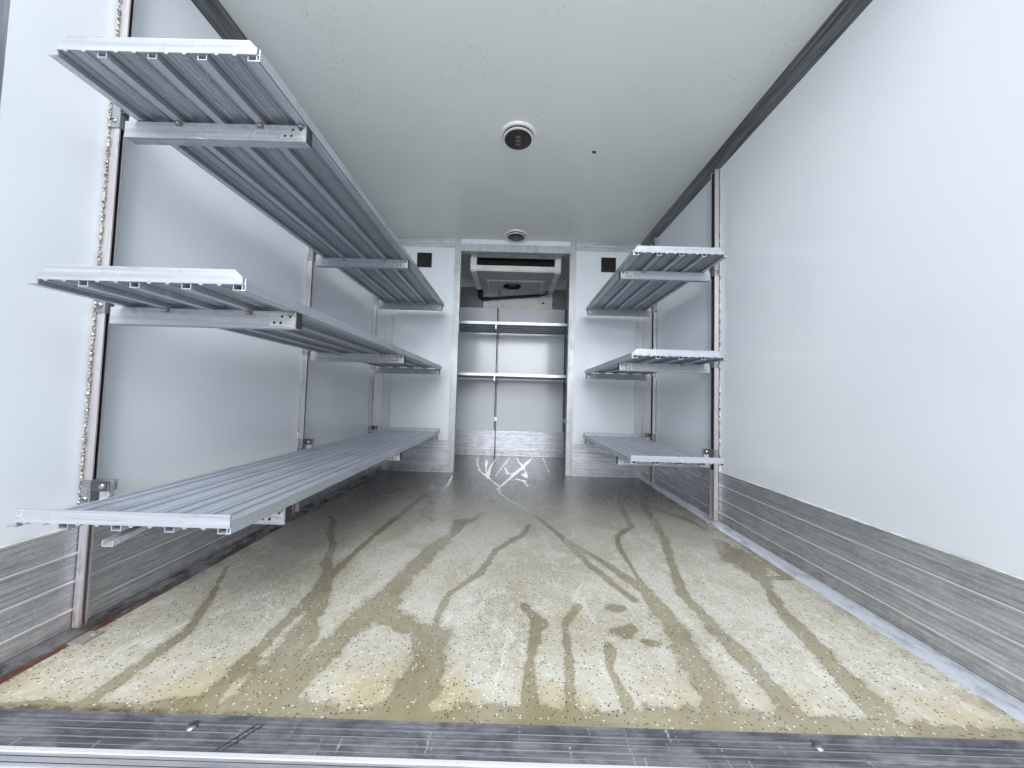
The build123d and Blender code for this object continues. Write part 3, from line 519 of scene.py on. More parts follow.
def tread_rubber():
    """Dark tread of the threshold, dusty in patches, smeared and scratched pale."""
    tread = Finish("tread_rubber", IOR=1.5)
    dust = tread.noise(20, 5, 0.7, stretch=(0.5, 1, 1), twist=0.5)
    tread.base(tone(78, 79, 86), tone(122, 122, 128), tread.step(dust, 0.35, 0.7))
    smears = tread.step(tread.noise(5, 4, 0.7, stretch=(0.5, 3, 1)), 0.55, 0.72)
    tread.paint(tone(176, 174, 180), smears, 0.6)
    scratches = tread.noise(120, 2, 0.5, stretch=(1, 0.08, 1))
    tread.paint(tone(188, 188, 192), tread.step(scratches, 0.66, 0.74, 0, 0.5))
    tread.relief(dust, 0.0006, 0.4)
    return tread.close(tread.step(dust, 0.3, 0.7, 0.34, 0.6))


def ceiling_angle():
    """Dark dull angle along the ceiling, streaked along its length, with a dark line along its lower edge.
    """
    metal = Finish("ceiling_angle", Metallic=0.45)
    streaks = metal.noise(7, 4, 0.65, stretch=(22, 0.5, 22))
    metal.base(tone(128, 131, 134), tone(74, 74, 76), metal.step(streaks, 0.36, 0.66))
    stains = metal.noise(9, 5, 0.7, stretch=(1, 0.4, 1))
    metal.paint(tone(84, 76, 68), metal.step(stains, 0.5, 0.7, 0, 0.5))
    brink_start, brink_end = CEILING - 0.0725, CEILING - 0.0745
    metal.paint(tone(40, 39, 39), metal.step(metal.axis("Z"), brink_start, brink_end), 0.8)
    metal.relief(streaks, 0.0003, 0.3)
    return metal.close(metal.step(stains, 0.3, 0.7, 0.34, 0.5))


def old_sealant():
    """Weathered joint sealant: pale lumps with dirt caught between them."""
    bead = Finish("sealant_bead", IOR=1.45)
    dirt = bead.noise(240, 4, 0.75)
    bead.base(tone(212, 208, 200), tone(100, 86, 78), bead.step(dirt, 0.42, 0.56))
    bead.relief(dirt, 0.001, 0.6)
    return bead.close(bead.step(dirt, 0.3, 0.7, 0.6, 0.8))


def brushed_sheet(name, pale, dull, rough, metallic=1.0, grain=(1, 14, 14)):
    """Brushed sheet: fine lines one way and dull hand marks."""
    sheet = Finish(name, Metallic=metallic)
    lines = sheet.noise(9, 4, 0.6, stretch=grain)
    sheet.base(pale, dull, sheet.step(lines, 0.35, 0.68))
    marks = sheet.noise(5, 4, 0.65, twist=0.5)
    sheet.paint(tone(150, 148, 146), sheet.step(marks, 0.5, 0.72, 0, 0.4))
    sheet.relief(lines, 0.0002, 0.3)
    return sheet.close(sheet.step(marks, 0.3, 0.7, rough, rough + 0.16))


finishes = {
    "panel_skin": gel_coat("wall_skin", tone(226, 230, 235), tone(214, 219, 226), 0.13),
    "ceiling": ceiling_skin(),
    "floor_resin": floor_resin(),
    "subframe_paint": painted_steel("subframe_paint", tone(46, 47, 50), tone(92, 70, 56), 0.45),
    "rear_frame_steel": brushed_sheet("rear_sheet", tone(206, 207, 214), tone(178, 180, 188), 0.34, 0.6),
    "rear_post": brushed_sheet("rear_post_sheet", tone(206, 207, 214), tone(178, 180, 188), 0.34, 0.6,
                               (14, 14, 1)),
    "tread_dark": tread_rubber(),
    "kick_aluminium": kick_plate(),
    "cove_strip": cove_seal(),
    "ceiling_profile": ceiling_angle(),
    "seal_rubber": moulded("seal_rubber", tone(38, 38, 39), tone(60, 60, 60), 0.6),
    "unit_casing": moulded("unit_casing", tone(226, 227, 224), tone(204, 205, 200), 0.38),
    "cooler": cooler_casing(),
    "hose_rubber": moulded("hose_rubber", tone(30, 30, 31), tone(56, 55, 54), 0.6, 160),
    "fan_black": moulded("fan_black", tone(22, 22, 23), tone(40, 40, 41), 0.5),
    "lamp_body": moulded("lamp_ring", tone(232, 233, 230), tone(212, 213, 209), 0.35),
    "door_steel": brushed_sheet("door_fittings", tone(208, 210, 213), tone(170, 173, 178), 0.26),
    "shelf_aluminium": shelf_plank("shelf_plank", "X", DECK_INNER),
    "front_plank": shelf_plank("front_plank", "Y", FRONT_FACE - SHELF_GAP),
    "frame_aluminium": bare_aluminium("bright_frame", tone(174, 177, 184), tone(150, 153, 161), 0.4,
                                      tone(118, 118, 123), "X", 0.35),
    "profile_aluminium": bare_aluminium("drawn_profile", tone(214, 216, 220), tone(200, 202, 207), 0.32,
                                        tone(150, 149, 150), "Z", 0.7),
    "trim": bare_aluminium("partition_frame", tone(196, 199, 203), tone(174, 177, 182), 0.42,
                           tone(124, 122, 120), "Z", 0.5),
    "bracket": bare_aluminium("bracket_steel", tone(160, 162, 166), tone(118, 120, 125), 0.4,
                              tone(78, 78, 80), "Z", 0.7),
    "upright": upright_metal(),
    "bolt": brushed_sheet("bolt_metal", tone(186, 188, 191), tone(132, 134, 139), 0.3),
    "plug": moulded("dark_plug", tone(40, 41, 43), tone(60, 60, 62), 0.5),
    "sealant": old_sealant(),
    "pale_sealant": moulded("pale_sealant", tone(214, 215, 213), tone(180, 178, 172), 0.6, 180),
    "dome": moulded("lamp_dome", tone(54, 51, 51), tone(38, 37, 38), 0.26, 500),
    "led": moulded("lamp_blocks", tone(118, 108, 106), tone(96, 88, 86), 0.3),
    # A dark grey sheet that paints the shade on the front wall beside the cover
    "dark_panel": painted_steel("dark_panel", tone(128, 131, 134), tone(98, 100, 102), 0.4),
    "rusty": painted_steel("rusty_plate", tone(150, 138, 132), tone(112, 66, 44), 0.5),
    "plate": brushed_sheet("stamped_plate", tone(206, 208, 212), tone(176, 179, 185), 0.34, 0.6),
    # Mid-dark sheet that paints the shade on the floors of the right slots
    "slot_floor": moulded("slot_floor", tone(124, 121, 120), tone(92, 88, 86), 0.5),
    "worn_rib": moulded("worn_rib", tone(112, 114, 121), tone(84, 85, 92), 0.5),
    "smudge": moulded("ceiling_mark", tone(34, 33, 32), tone(52, 48, 44), 0.7),
    "lip": bare_aluminium("bright_lip", tone(226, 227, 230), tone(212, 213, 217), 0.4,
                          tone(186, 185, 186), "X", 0.3),
}
# Nodes whose finish isn't that of their record slot
special = {"roof_panel": "ceiling", "front_shelves": "front_plank", "uprights": "upright",
           "cooler_housing": "cooler", "rear_post_left": "rear_post", "rear_post_right": "rear_post",
           "door_jambs": "trim", "doorway_head": "trim", "shelf_brackets": "bracket"}


def dress_nodes():
    """Give each CAD node the finish of its record slot, or its own special one."""
    slots = {entry["node"]: entry["material_slot"] for entry in frame["record"]["subparts"]}
    for name, node in nodes.items():
        node.data.materials.clear()
        node.data.materials.append(finishes[special.get(name, slots[name])])


# Mesh helpers

DOWN = (0, 0, -1)
UP = (0, 0, 1)
TO_REAR = (0, -1, 0)
TO_CAB = (0, 1, 0)


class Shape:
    """A mesh built up in the shared frame, which becomes one piece."""

    def __init__(self):
        self.mesh = bmesh.new()

    def block(self, first, second):
        """A box between two opposite corners."""
        (x0, x1), (y0, y1), (z0, z1) = [sorted(pair) for pair in zip(first, second)]
        v = [self.mesh.verts.new((x, y, z)) for x in (x0, x1) for y in (y0, y1) for z in (z0, z1)]
        for loop in ((0, 1, 3, 2), (4, 6, 7, 5), (0, 4, 5, 1), (2, 3, 7, 6), (0, 2, 6, 4), (1, 5, 7, 3)):
            self.mesh.faces.new([v[number] for number in loop])

    def circle(self, centre, turn, radius, height, segments):
        """Corners of a circle at a height above centre, along the turned Z axis."""
        ring = []
        for number in range(segments):
            angle = 2 * math.pi * number / segments
            point = Vector((radius * math.cos(angle), radius * math.sin(angle), height))
            ring.append(self.mesh.verts.new(Vector(centre) + turn @ point))
        return ring

    def lathe(self, centre, axis, profile, segments=24):
        """Turn (radius, height) pairs about an axis through centre."""
        turn = Vector(axis).normalized().to_track_quat("Z", "Y")
        rings = [self.circle(centre, turn, radius, height, segments if radius else 1)
                 for radius, height in profile]
        for first, second in zip(rings, rings[1:]):
            for number in range(segments):
                after = (number + 1) % segments
                loop = [first[number % len(first)], first[after % len(first)],
                        second[after % len(second)], second[number % len(second)]]
                unique = list(dict.fromkeys(loop))
                if len(unique) > 2:
                    self.mesh.faces.new(unique)

    def skin(self, rings):
        """Faces between rings of corners, with both ends closed."""
        for first, second in zip(rings, rings[1:]):
            for number in range(len(first)):
                after = (number + 1) % len(first)
                self.mesh.faces.new([first[number], first[after], second[after], second[number]])
        self.mesh.faces.new(rings[0][::-1])
        self.mesh.faces.new(rings[-1])

    def run(self, outline, *stations):
        """Extrude a closed outline of offsets from station to station."""
        self.skin([[self.mesh.verts.new(Vector(station) + Vector(point)) for point in outline]
                   for station in stations])

    def tube(self, points, radius, segments=8, wobble=0.0):
        """A round bead along points, its radius varied by a share."""
        rings = []
        for number, point in enumerate(points):
            ahead = Vector(points[min(number + 1, len(points) - 1)])
            behind = Vector(points[max(number - 1, 0)])
            size = radius * (1 + wobble * (rng.random() - 0.5) * 2)
            rings.append(self.circle(point, (ahead - behind).to_track_quat("Z", "Y"), size, 0, segments))
        self.skin(rings)

    def piece(self, name, slot, body="load_body", finish=None, bevel=0.0, smooth=True):
        """Turn the shape into a piece of that body, in the finish of that slot or another."""
        bmesh.ops.recalc_face_normals(self.mesh, faces=self.mesh.faces)
        if bevel:
            sharp = [edge for edge in self.mesh.edges if edge.is_manifold
                     and edge.calc_face_angle(0) > math.radians(50)]
            bmesh.ops.bevel(self.mesh, geom=sharp, offset=bevel, segments=2, affect="EDGES",
                            clamp_overlap=True)
        for face in self.mesh.faces:
            face.smooth = smooth
        for edge in self.mesh.edges:
            edge.smooth = not edge.is_manifold or edge.calc_face_angle(0) < math.radians(38)
        thing = add_mesh(name, self.mesh, finishes[finish or slot])
        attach(thing, body)


# Wet streams on the floor: (across, along, half width) from the far end to the rear
STREAMS = {
    "left_outer": ((-0.90, -0.42, 0.006), (-0.84, -0.48, 0.010), (-0.78, -0.62, 0.012),
                   (-0.70, -0.75, 0.010), (-0.65, -0.89, 0.014), (-0.59, -0.98, 0.018),
                   (-0.58, -1.15, 0.014), (-0.58, -1.45, 0.020)),
    "left_inner": ((-0.52, 0.20, 0.008), (-0.52, 0.02, 0.012), (-0.54, -0.25, 0.014),
                   (-0.56, -0.45, 0.016), (-0.58, -0.65, 0.010), (-0.59, -0.98, 0.014),
                   (-0.55, -1.10, 0.020), (-0.51, -1.25, 0.034), (-0.49, -1.45, 0.050)),
    "left_patch": ((-0.45, -0.14, 0.010), (-0.44, -0.26, 0.026), (-0.42, -0.40, 0.020),
                   (-0.37, -0.45, 0.006)),
    "main_left": ((-0.09, -0.03, 0.008), (-0.11, -0.20, 0.008), (-0.17, -0.41, 0.012),
                  (-0.24, -0.46, 0.032), (-0.24, -0.58, 0.016), (-0.30, -0.75, 0.028),
                  (-0.34, -0.95, 0.034), (-0.36, -1.10, 0.040), (-0.41, -1.25, 0.030),
                  (-0.46, -1.45, 0.040)),
    "main_link": ((-0.36, -1.15, 0.030), (-0.27, -1.20, 0.034), (-0.18, -1.25, 0.036),
                  (-0.17, -1.45, 0.044)),
    "middle": ((0.10, -0.47, 0.008), (0.06, -0.59, 0.014), (-0.05, -0.75, 0.012),
               (-0.09, -0.92, 0.012), (-0.18, -1.06, 0.010), (-0.19, -1.20, 0.006)),
    "drip_one": ((0.05, -1.10, 0.010), (0.09, -1.18, 0.018), (0.06, -1.30, 0.008),
                 (0.05, -1.45, 0.018)),
    "drip_two": ((0.21, -1.10, 0.012), (0.16, -1.18, 0.010), (0.15, -1.30, 0.008),
                 (0.13, -1.45, 0.014)),
    "drip_three": ((0.26, -1.26, 0.014), (0.24, -1.32, 0.008), (0.25, -1.45, 0.016)),
    "far_trunk": ((-0.335, 1.337, 0.008), (-0.311, 1.022, 0.009), (-0.251, 0.688, 0.009),
                  (-0.142, 0.395, 0.009), (-0.069, 0.207, 0.013)),
    "far_second": ((-0.133, 1.371, 0.008), (-0.155, 1.199, 0.010), (-0.178, 0.818, 0.008),
                   (-0.166, 0.423, 0.009)),
    "far_third": ((-0.232, 1.187, 0.010), (-0.212, 0.813, 0.007), (-0.176, 0.454, 0.007)),
    "far_right": ((0.217, 1.370, 0.010), (0.120, 0.947, 0.018), (0.045, 0.653, 0.018),
                  (-0.016, 0.410, 0.014), (-0.069, 0.207, 0.014)),
    "far_hook": ((-0.049, 0.836, 0.008), (-0.019, 0.608, 0.010), (0.029, 0.650, 0.012)),
    "far_fork": ((0.062, 1.344, 0.008), (0.078, 1.131, 0.010), (0.117, 0.859, 0.012),
                 (0.045, 0.653, 0.014)),
    "far_pool": ((0.043, 0.449, 0.010), (0.102, 0.394, 0.017), (0.124, 0.228, 0.009)),
    "far_side": ((0.331, 1.389, 0.008), (0.325, 1.022, 0.006), (0.322, 0.727, 0.005)),
    "far_thin": ((-0.010, 1.333, 0.008), (-0.075, 0.875, 0.006), (-0.112, 0.527, 0.005)),
    "far_loop": ((0.094, 0.623, 0.008), (0.128, 0.491, 0.012), (0.123, 0.778, 0.007),
                 (0.120, 0.947, 0.007)),
    "far_left": ((-0.446, 0.484, 0.007), (-0.426, 0.220, 0.009), (-0.440, 0.092, 0.006)),
    "centre": ((-0.08, 0.18, 0.014), (-0.06, 0.04, 0.012), (0.05, -0.18, 0.010),
               (0.15, -0.38, 0.010), (0.23, -0.58, 0.012), (0.30, -0.84, 0.012),
               (0.39, -1.06, 0.012)),
    "centre_right": ((0.23, -0.60, 0.008), (0.35, -0.80, 0.012), (0.45, -1.02, 0.022),
                     (0.45, -1.25, 0.032), (0.43, -1.45, 0.046)),
    "right_inner": ((0.68, 0.10, 0.006), (0.64, -0.15, 0.014), (0.60, -0.45, 0.014),
                    (0.49, -0.57, 0.010), (0.46, -0.70, 0.010), (0.45, -0.98, 0.006)),
    "right_outer": ((0.80, 0.12, 0.010), (0.79, -0.10, 0.018), (0.74, -0.38, 0.016),
                    (0.69, -0.60, 0.016), (0.61, -0.85, 0.014), (0.56, -1.02, 0.016),
                    (0.58, -1.45, 0.024)),
    "right_branch": ((0.79, -0.10, 0.008), (0.86, -0.22, 0.010), (0.93, -0.33, 0.022),
                     (0.95, -0.46, 0.008)),
    "right_pool": ((0.93, -0.62, 0.030), (0.92, -0.76, 0.070), (0.88, -0.94, 0.016),
                   (0.82, -1.08, 0.016), (0.78, -1.25, 0.024), (0.75, -1.45, 0.030)),
    "right_edge": ((1.03, -0.55, 0.010), (0.99, -0.90, 0.014), (0.90, -0.90, 0.010)),
    "left_edge": ((-0.97, -0.93, 0.006), (-0.86, -1.12, 0.010), (-0.80, -1.25, 0.012),
                  (-0.80, -1.45, 0.020)),
    "blotch_high": ((0.303, -1.107, 0.012), (0.322, -1.106, 0.017), (0.344, -1.102, 0.010)),
    "blotch_low": ((0.285, -1.205, 0.012), (0.312, -1.206, 0.022), (0.338, -1.192, 0.017)),
    "blotch_near": ((0.349, -1.236, 0.009), (0.368, -1.242, 0.013), (0.386, -1.245, 0.007)),
    "rear_band": ((-1.05, -1.466, 0.010), (-0.50, -1.466, 0.028), (0.00, -1.466, 0.030),
                  (0.50, -1.466, 0.040), (1.05, -1.466, 0.018)),
}
# Spacing of the floor's grid, and how far from a stream, in half widths, its field still counts
GRID_STEP = 0.01
FIELD_LIMIT = 4.0


def stream_field(points):
    """For each floor point, the least distance to a stream in half widths, up to a limit."""
    least = np.full(len(points), FIELD_LIMIT)
    for route in STREAMS.values():
        for first, second in zip(route, route[1:]):
            start = np.array(first[:2])
            way = np.array(second[:2]) - start
            share = np.clip(((points - start) @ way) / (way @ way), 0, 1)
            near = start + share[:, None] * way
            half = first[2] + share * (second[2] - first[2])
            least = np.minimum(least, np.linalg.norm(points - near, axis=1) / half)
    return least


def make_floor():
    """The floor covering as a fine grid, so that it can hold the field of wet streams."""
    low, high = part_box("floor_covering")
    columns = round((high.x - low.x) / GRID_STEP)
    rows = round((high.y - low.y) / GRID_STEP)
    mesh = bmesh.new()
    grid = [[mesh.verts.new((x, y, high.z)) for x in np.linspace(low.x, high.x, columns + 1)]
            for y in np.linspace(low.y, high.y, rows + 1)]
    for near, far in zip(grid, grid[1:]):
        for column in range(columns):
            mesh.faces.new([near[column], near[column + 1], far[column + 1], far[column]])
    rim = [edge for edge in mesh.edges if edge.is_boundary]
    for item in bmesh.ops.extrude_edge_only(mesh, edges=rim)["geom"]:
        if isinstance(item, bmesh.types.BMVert):
            item.co.z = low.z
    bmesh.ops.recalc_face_normals(mesh, faces=mesh.faces)
    floor = add_mesh("floor_surface", mesh, finishes["floor_resin"])
    places = np.zeros(len(floor.data.vertices) * 3, np.float32)
    floor.data.vertices.foreach_get("co", places)
    field = floor.data.attributes.new("run", "FLOAT", "POINT")
    field.data.foreach_set("value", stream_field(places.reshape(-1, 3)[:, :2]).astype(np.float32))
    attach(floor, "load_body")
    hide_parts("floor_covering")


# A pan head's outline, as shares of its radius and height
PAN_HEAD = ((0, 1.0), (0.35, 0.96), (0.7, 0.78), (0.93, 0.42), (1.0, 0.0))
# Heads by radius, height and number of corners
DECK_RIVET = (0.0042, 0.0022, 10)
CLIP_SCREW = (0.0042, 0.0030, 10)
PIVOT_BOLT = (0.0075, 0.0042, 16)
BRACKET_BOLT = (0.0082, 0.0046, 20)
FOOT_BOLT = (0.0060, 0.0030, 12)
TREAD_BOLT = (0.0095, 0.0045, 24)
BELLY_SCREW = (0.0050, 0.0030, 10)
COVER_SCREW = (0.0050, 0.0030, 12)
FAN_SCREW = (0.0035, 0.0020, 10)
STRAP_BOLT = (0.0065, 0.0040, 14)
EDGE_RIVET = (0.0040, 0.0022, 8)
UNIT_SCREW = (0.0055, 0.0030, 12)


def pan_head(shape, centre, axis, head):
    radius, height, corners = head
    shape.lathe(centre, axis, [(radius * r, height * h) for r, h in PAN_HEAD], corners)


def head_row(shape, start, end, count, axis, head):
    """Evenly spaced heads from start to end."""
    for number in range(count):
        pan_head(shape, Vector(start).lerp(Vector(end), number / (count - 1)), axis, head)


def ring(shape, centre, axis, radius, wire, segments=40):
    """A wire ring about an axis."""
    section = [(radius + wire * math.cos(turn), wire * math.sin(turn))
               for turn in [2 * math.pi * number / 6 for number in range(7)]]
    shape.lathe(centre, axis, section, segments)


# Folding shelves: sizes that the details need, as on the CAD solids
DECK_SINK = 0.010
DECK_BOTTOM = 0.013
RIB_BOTTOM = 0.025
ARM_BOTTOM = 0.067
ARM_END = 0.508
ARM_HALF = 0.0125
END_WALL = 0.003
PIVOT_INSET = 0.058
PIVOT_RISE = 0.012
CHEEK_OUTER = 0.010
COLLAR_DEPTH = 0.029
BEAD_SECTION = ((-0.0050, 0, 0), (-0.0040, 0, -0.0024), (-0.0018, 0, -0.0038), (0.0018, 0, -0.0038),
                (0.0040, 0, -0.0024), (0.0050, 0, 0))
RIDGE_SECTION = ((-0.0018, 0, 0), (-0.0011, 0, 0.0012), (0.0011, 0, 0.0012), (0.0018, 0, 0))
RIDGE_REACH = 0.0065
# Deck rivets by place across a plank and distance from the shelf's end
DECK_RIVETS = ((0.0495, 0.012), (0.0745, 0.031))
# Fittings of the arms and brackets, first the planks whose ribs have a clip
CLIPPED_PLANKS = (0, 2, 3)
CLIP_HALF = 0.007
CLIP_DEPTH = 0.006
CLIP_HEIGHT = 0.011
PLUG_INSET = 0.002
PLATE_MARGIN = 0.004
PLATE_THICKNESS = 0.0010
# Holes of an arm plate, back from the arm's end, in its upper and its lower row
UPPER_HOLES = (0.013, 0.033)
LOWER_HOLES = (0.036, 0.052)
HOLE_MARGIN = 0.009
HOOD_THICKNESS = 0.0018
BRACKET_BOLT_INSET = 0.016
BRACKET_BOLT_DROP = 0.021
# Middles of the uprights that carry shelves, from the room's rear edge or back from the partition
CARRIERS = {"left": (0.185, 1.017, -0.261), "right": (1.079, -0.249)}
UPRIGHT_HALF = {"left": 0.007, "right": 0.019}
# Upper ends of the sealant beside the uprights and of the dark sheets, painted shade, in their slots
SEALANT_TOP = CEILING - 0.079
SLOT_SHADE_TOP = CEILING - 0.081
# Posts on the front wall by their middle lines
FRONT_POSTS = (-0.900, -0.172, 0.556)
FRONT_POST_HALF = 0.007


def carrier_places(side):
    return [ROOM_START + place if place > 0 else PARTITION + place for place in CARRIERS[side]]


def dress_shelf(side, sign, name):
    """Beads, rivets, arm plugs, plates and clips of one folding shelf, which ride with it."""
    body = f"{side}_{name}_shelf"
    low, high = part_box(f"shelf_{side}_{name}")
    level = high.z
    beads, ridges, rivets = Shape(), Shape(), Shape()
    for number in range(PLANKS):
        start = DECK_INNER - number * PLANK_PITCH
        for bead in BEAD_PLACES:
            x = sign * (start - bead)
            beads.run(BEAD_SECTION, (x, low.y - END_WALL, level - DECK_BOTTOM),
                      (x, high.y + END_WALL, level - DECK_BOTTOM))
            for way in (-RIDGE_REACH, RIDGE_REACH):
                ridges.run(RIDGE_SECTION, (x + way, low.y, level - DECK_SINK),
                           (x + way, high.y, level - DECK_SINK))
        for place, back in DECK_RIVETS:
            for y in (low.y + back, high.y - back):
                pan_head(rivets, (sign * (start - place), y, level - DECK_BOTTOM), DOWN, DECK_RIVET)
    beads.piece(f"deck_beads_{side}_{name}", "shelf_aluminium", body)
    ridges.piece(f"deck_ridges_{side}_{name}", "shelf_aluminium", body, smooth=False)
    rivets.piece(f"deck_rivets_{side}_{name}", "door_steel", body, "bolt")

    plugs, clips, plates, holes = Shape(), Shape(), Shape(), Shape()
    end = WALL - ARM_END
    arm_top, arm_bottom = level - RIB_BOTTOM, level - ARM_BOTTOM
    for y in carrier_places(side):
        face = y - ARM_HALF
        plugs.block((sign * (end + 0.0004), face + PLUG_INSET, arm_bottom + PLUG_INSET),
                    (sign * (end - 0.0024), y + ARM_HALF - PLUG_INSET, arm_top - PLUG_INSET))
        for number in CLIPPED_PLANKS:
            x = sign * (DECK_INNER - number * PLANK_PITCH - RIB_MIDDLE)
            clips.block((x - CLIP_HALF, face - CLIP_DEPTH, arm_top - CLIP_HEIGHT),
                        (x + CLIP_HALF, face, arm_top))
            pan_head(clips, (x, face - CLIP_DEPTH, arm_top - CLIP_HEIGHT / 2), TO_REAR, CLIP_SCREW)
        top, bottom = arm_top - PLATE_MARGIN, arm_bottom + PLATE_MARGIN
        plate = face - PLATE_THICKNESS
        plates.block((sign * (end + 0.003), plate, bottom), (sign * (end + 0.064), face, top))
        for backs, z in ((UPPER_HOLES, top - HOLE_MARGIN), (LOWER_HOLES, bottom + HOLE_MARGIN)):
            for back in backs:
                centre = (sign * (end + back), plate, z)
                ring(plates, centre, TO_REAR, 0.0044, 0.0011, 14)
                holes.lathe(centre, TO_REAR, [(0.0036, 0), (0.0030, 0.0002), (0, 0.0002)], 12)
        plates.block((sign * (end + 0.007), face - 0.0022, bottom + 0.0055),
                     (sign * (end + 0.024), plate, bottom + 0.0125))
    plates.piece(f"arm_plates_{side}_{name}", "door_steel", body, "plate", bevel=0.0003)
    holes.piece(f"arm_holes_{side}_{name}", "seal_rubber", body, "plug")
    plugs.piece(f"arm_plugs_{side}_{name}", "seal_rubber", body, "plug", bevel=0.0008)
    clips.piece(f"arm_clips_{side}_{name}", "door_steel", body, "bolt", bevel=0.0006)


def dress_brackets():
    """Dark hoods, bolts and slotted heads on the fixed hinge brackets."""
    hoods, bolts, slots = Shape(), Shape(), Shape()
    for side, sign in SIDES:
        wing = UPRIGHT_HALF[side] + 0.003
        x = sign * (WALL - BRACKET_BOLT_INSET)
        hood_start, hood_end = WALL - COLLAR_DEPTH - 0.0005, WALL - PIVOT_INSET - 0.0115
        for name in SHELVES:
            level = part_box(f"shelf_{side}_{name}")[1].z
            pin = level + PIVOT_RISE
            for y in carrier_places(side):
                for way in (-1, 1):
                    outer = y + way * (CHEEK_OUTER + HOOD_THICKNESS)
                    hoods.block((sign * hood_start, y + way * CHEEK_OUTER, pin - 0.012),
                                (sign * hood_end, outer, pin + 0.0128))
                    pan_head(bolts, (sign * (WALL - PIVOT_INSET), outer, pin), (0, way, 0), PIVOT_BOLT)
                face = y - wing
                pan_head(bolts, (x, face, level - BRACKET_BOLT_DROP), TO_REAR, BRACKET_BOLT)
                slots.block((x - 0.0074, face - 0.0050, level - BRACKET_BOLT_DROP - 0.0008),
                            (x + 0.0074, face - 0.0036, level - BRACKET_BOLT_DROP + 0.0008))
    hoods.piece("bracket_hoods", "seal_rubber", finish="plug", bevel=0.0006)
    bolts.piece("bracket_bolts", "door_steel", finish="bolt")
    slots.piece("bolt_slots", "seal_rubber", finish="plug")


def make_bent_rib():
    """The second rib of the lowest left shelf, torn loose and bent down at its rear end."""
    low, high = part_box("shelf_left_low")
    middle = -(DECK_INNER - PLANK_PITCH - RIB_MIDDLE)
    half, foot, top, wall = 0.011, -0.002, 0.009, 0.0016
    outline = ((-half, 0, top), (-half, 0, foot), (half, 0, foot), (half, 0, top),
               (half - wall, 0, top), (half - wall, 0, foot + wall),
               (-half + wall, 0, foot + wall), (-half + wall, 0, top))
    # Stations along the rib: distance from the shelf's end, drop, sideways shift
    stations = ((-0.004, 0.026, -0.010), (0.030, 0.019, -0.007), (0.065, 0.011, -0.004),
                (0.105, 0.004, -0.001), (0.140, 0.000, 0.0))
    rib = Shape()
    rib.run(outline, *[(middle + shift, low.y + back, high.z - RIB_BOTTOM - drop)
                       for back, drop, shift in stations])
    rib.piece("bent_rib", "shelf_aluminium", "left_low_shelf", "frame_aluminium", smooth=False)


def crumbled(shape, start, end, radius, pitch, wobble):
    """A bead of old sealant from start to end, lumpy and uneven."""
    start, end = Vector(start), Vector(end)
    count = max(int((end - start).length / pitch), 2)
    points = []
    for number in range(count + 1):
        offset = Vector([(rng.random() - 0.5) * wobble for _ in range(3)])
        points.append(start.lerp(end, number / count) + offset)
    shape.tube(points, radius, 7, 0.5)


def dress_walls():
    """Old sealant along the walls and uprights, and the foot plates of the rearmost uprights."""
    x = -WALL + 0.0045
    y = carrier_places("left")[0] - UPRIGHT_HALF["left"] - 0.0035
    beige = Shape()
    crumbled(beige, (x, y, KICK_TOP), (x, y, SEALANT_TOP), 0.0026, 0.005, 0.0014)
    beige.piece("sealant_near_left", "cove_strip", finish="sealant")
    pale = Shape()
    for side, sign in SIDES:
        x, z = sign * (WALL - 0.003), KICK_TOP + 0.001
        crumbled(pale, (x, ROOM_START + 0.004, z), (x, PARTITION - 0.006, z), 0.0028, 0.016, 0.0012)
        first, aside = (1, 0.0015) if side == "left" else (0, 0.0065)
        x = sign * (WALL - 0.002)
        for y in carrier_places(side)[first:]:
            edge = y - UPRIGHT_HALF[side] - aside
            crumbled(pale, (x, edge, KICK_TOP), (x, edge, SEALANT_TOP), 0.0022, 0.02, 0.0012)
    pale.piece("sealant_lines", "cove_strip", finish="pale_sealant")

    feet = Shape()
    plate_bottom, plate_top = FLOOR + 0.0002, FLOOR + 0.0034
    for side, sign in SIDES:
        y = carrier_places(side)[0]
        feet.block((sign * (WALL - 0.004), y - 0.028, plate_bottom),
                   (sign * (WALL - 0.058), y + 0.018, plate_top))
        pan_head(feet, (sign * (WALL - 0.046), y + 0.006, plate_top), UP, FOOT_BOLT)
    feet.piece("foot_plates", "profile_aluminium", finish="rusty", bevel=0.0008)


# Ceiling lamps: a lamp's middle from the end of the pair's box, the outline of its dome, its blocks
LAMP_REACH = 0.091
DOME = ((0.0768, 0.0095), (0.0768, 0.0165), (0.0745, 0.0200), (0.062, 0.0236), (0.035, 0.0258), (0, 0.0266))
BLOCK_PITCH = 0.024
BLOCK_HALF = (0.013, 0.008)
# The stud and the dark mark on the ceiling, and the lumps of the mark: across, along, radius
STUD_PLACE = (0.022, -0.374)
STUD = ((0.0135, 0), (0.0135, 0.002), (0.012, 0.0045), (0.0085, 0.0055), (0.007, 0.0075), (0, 0.0085))
MARK_PLACE = (0.391, -0.402)
MARK_LUMPS = ((-0.005, -0.004, 0.0058), (0.006, -0.003, 0.0052), (-0.003, 0.005, 0.0048),
              (0.007, 0.005, 0.0056), (0.001, 0.0, 0.006))


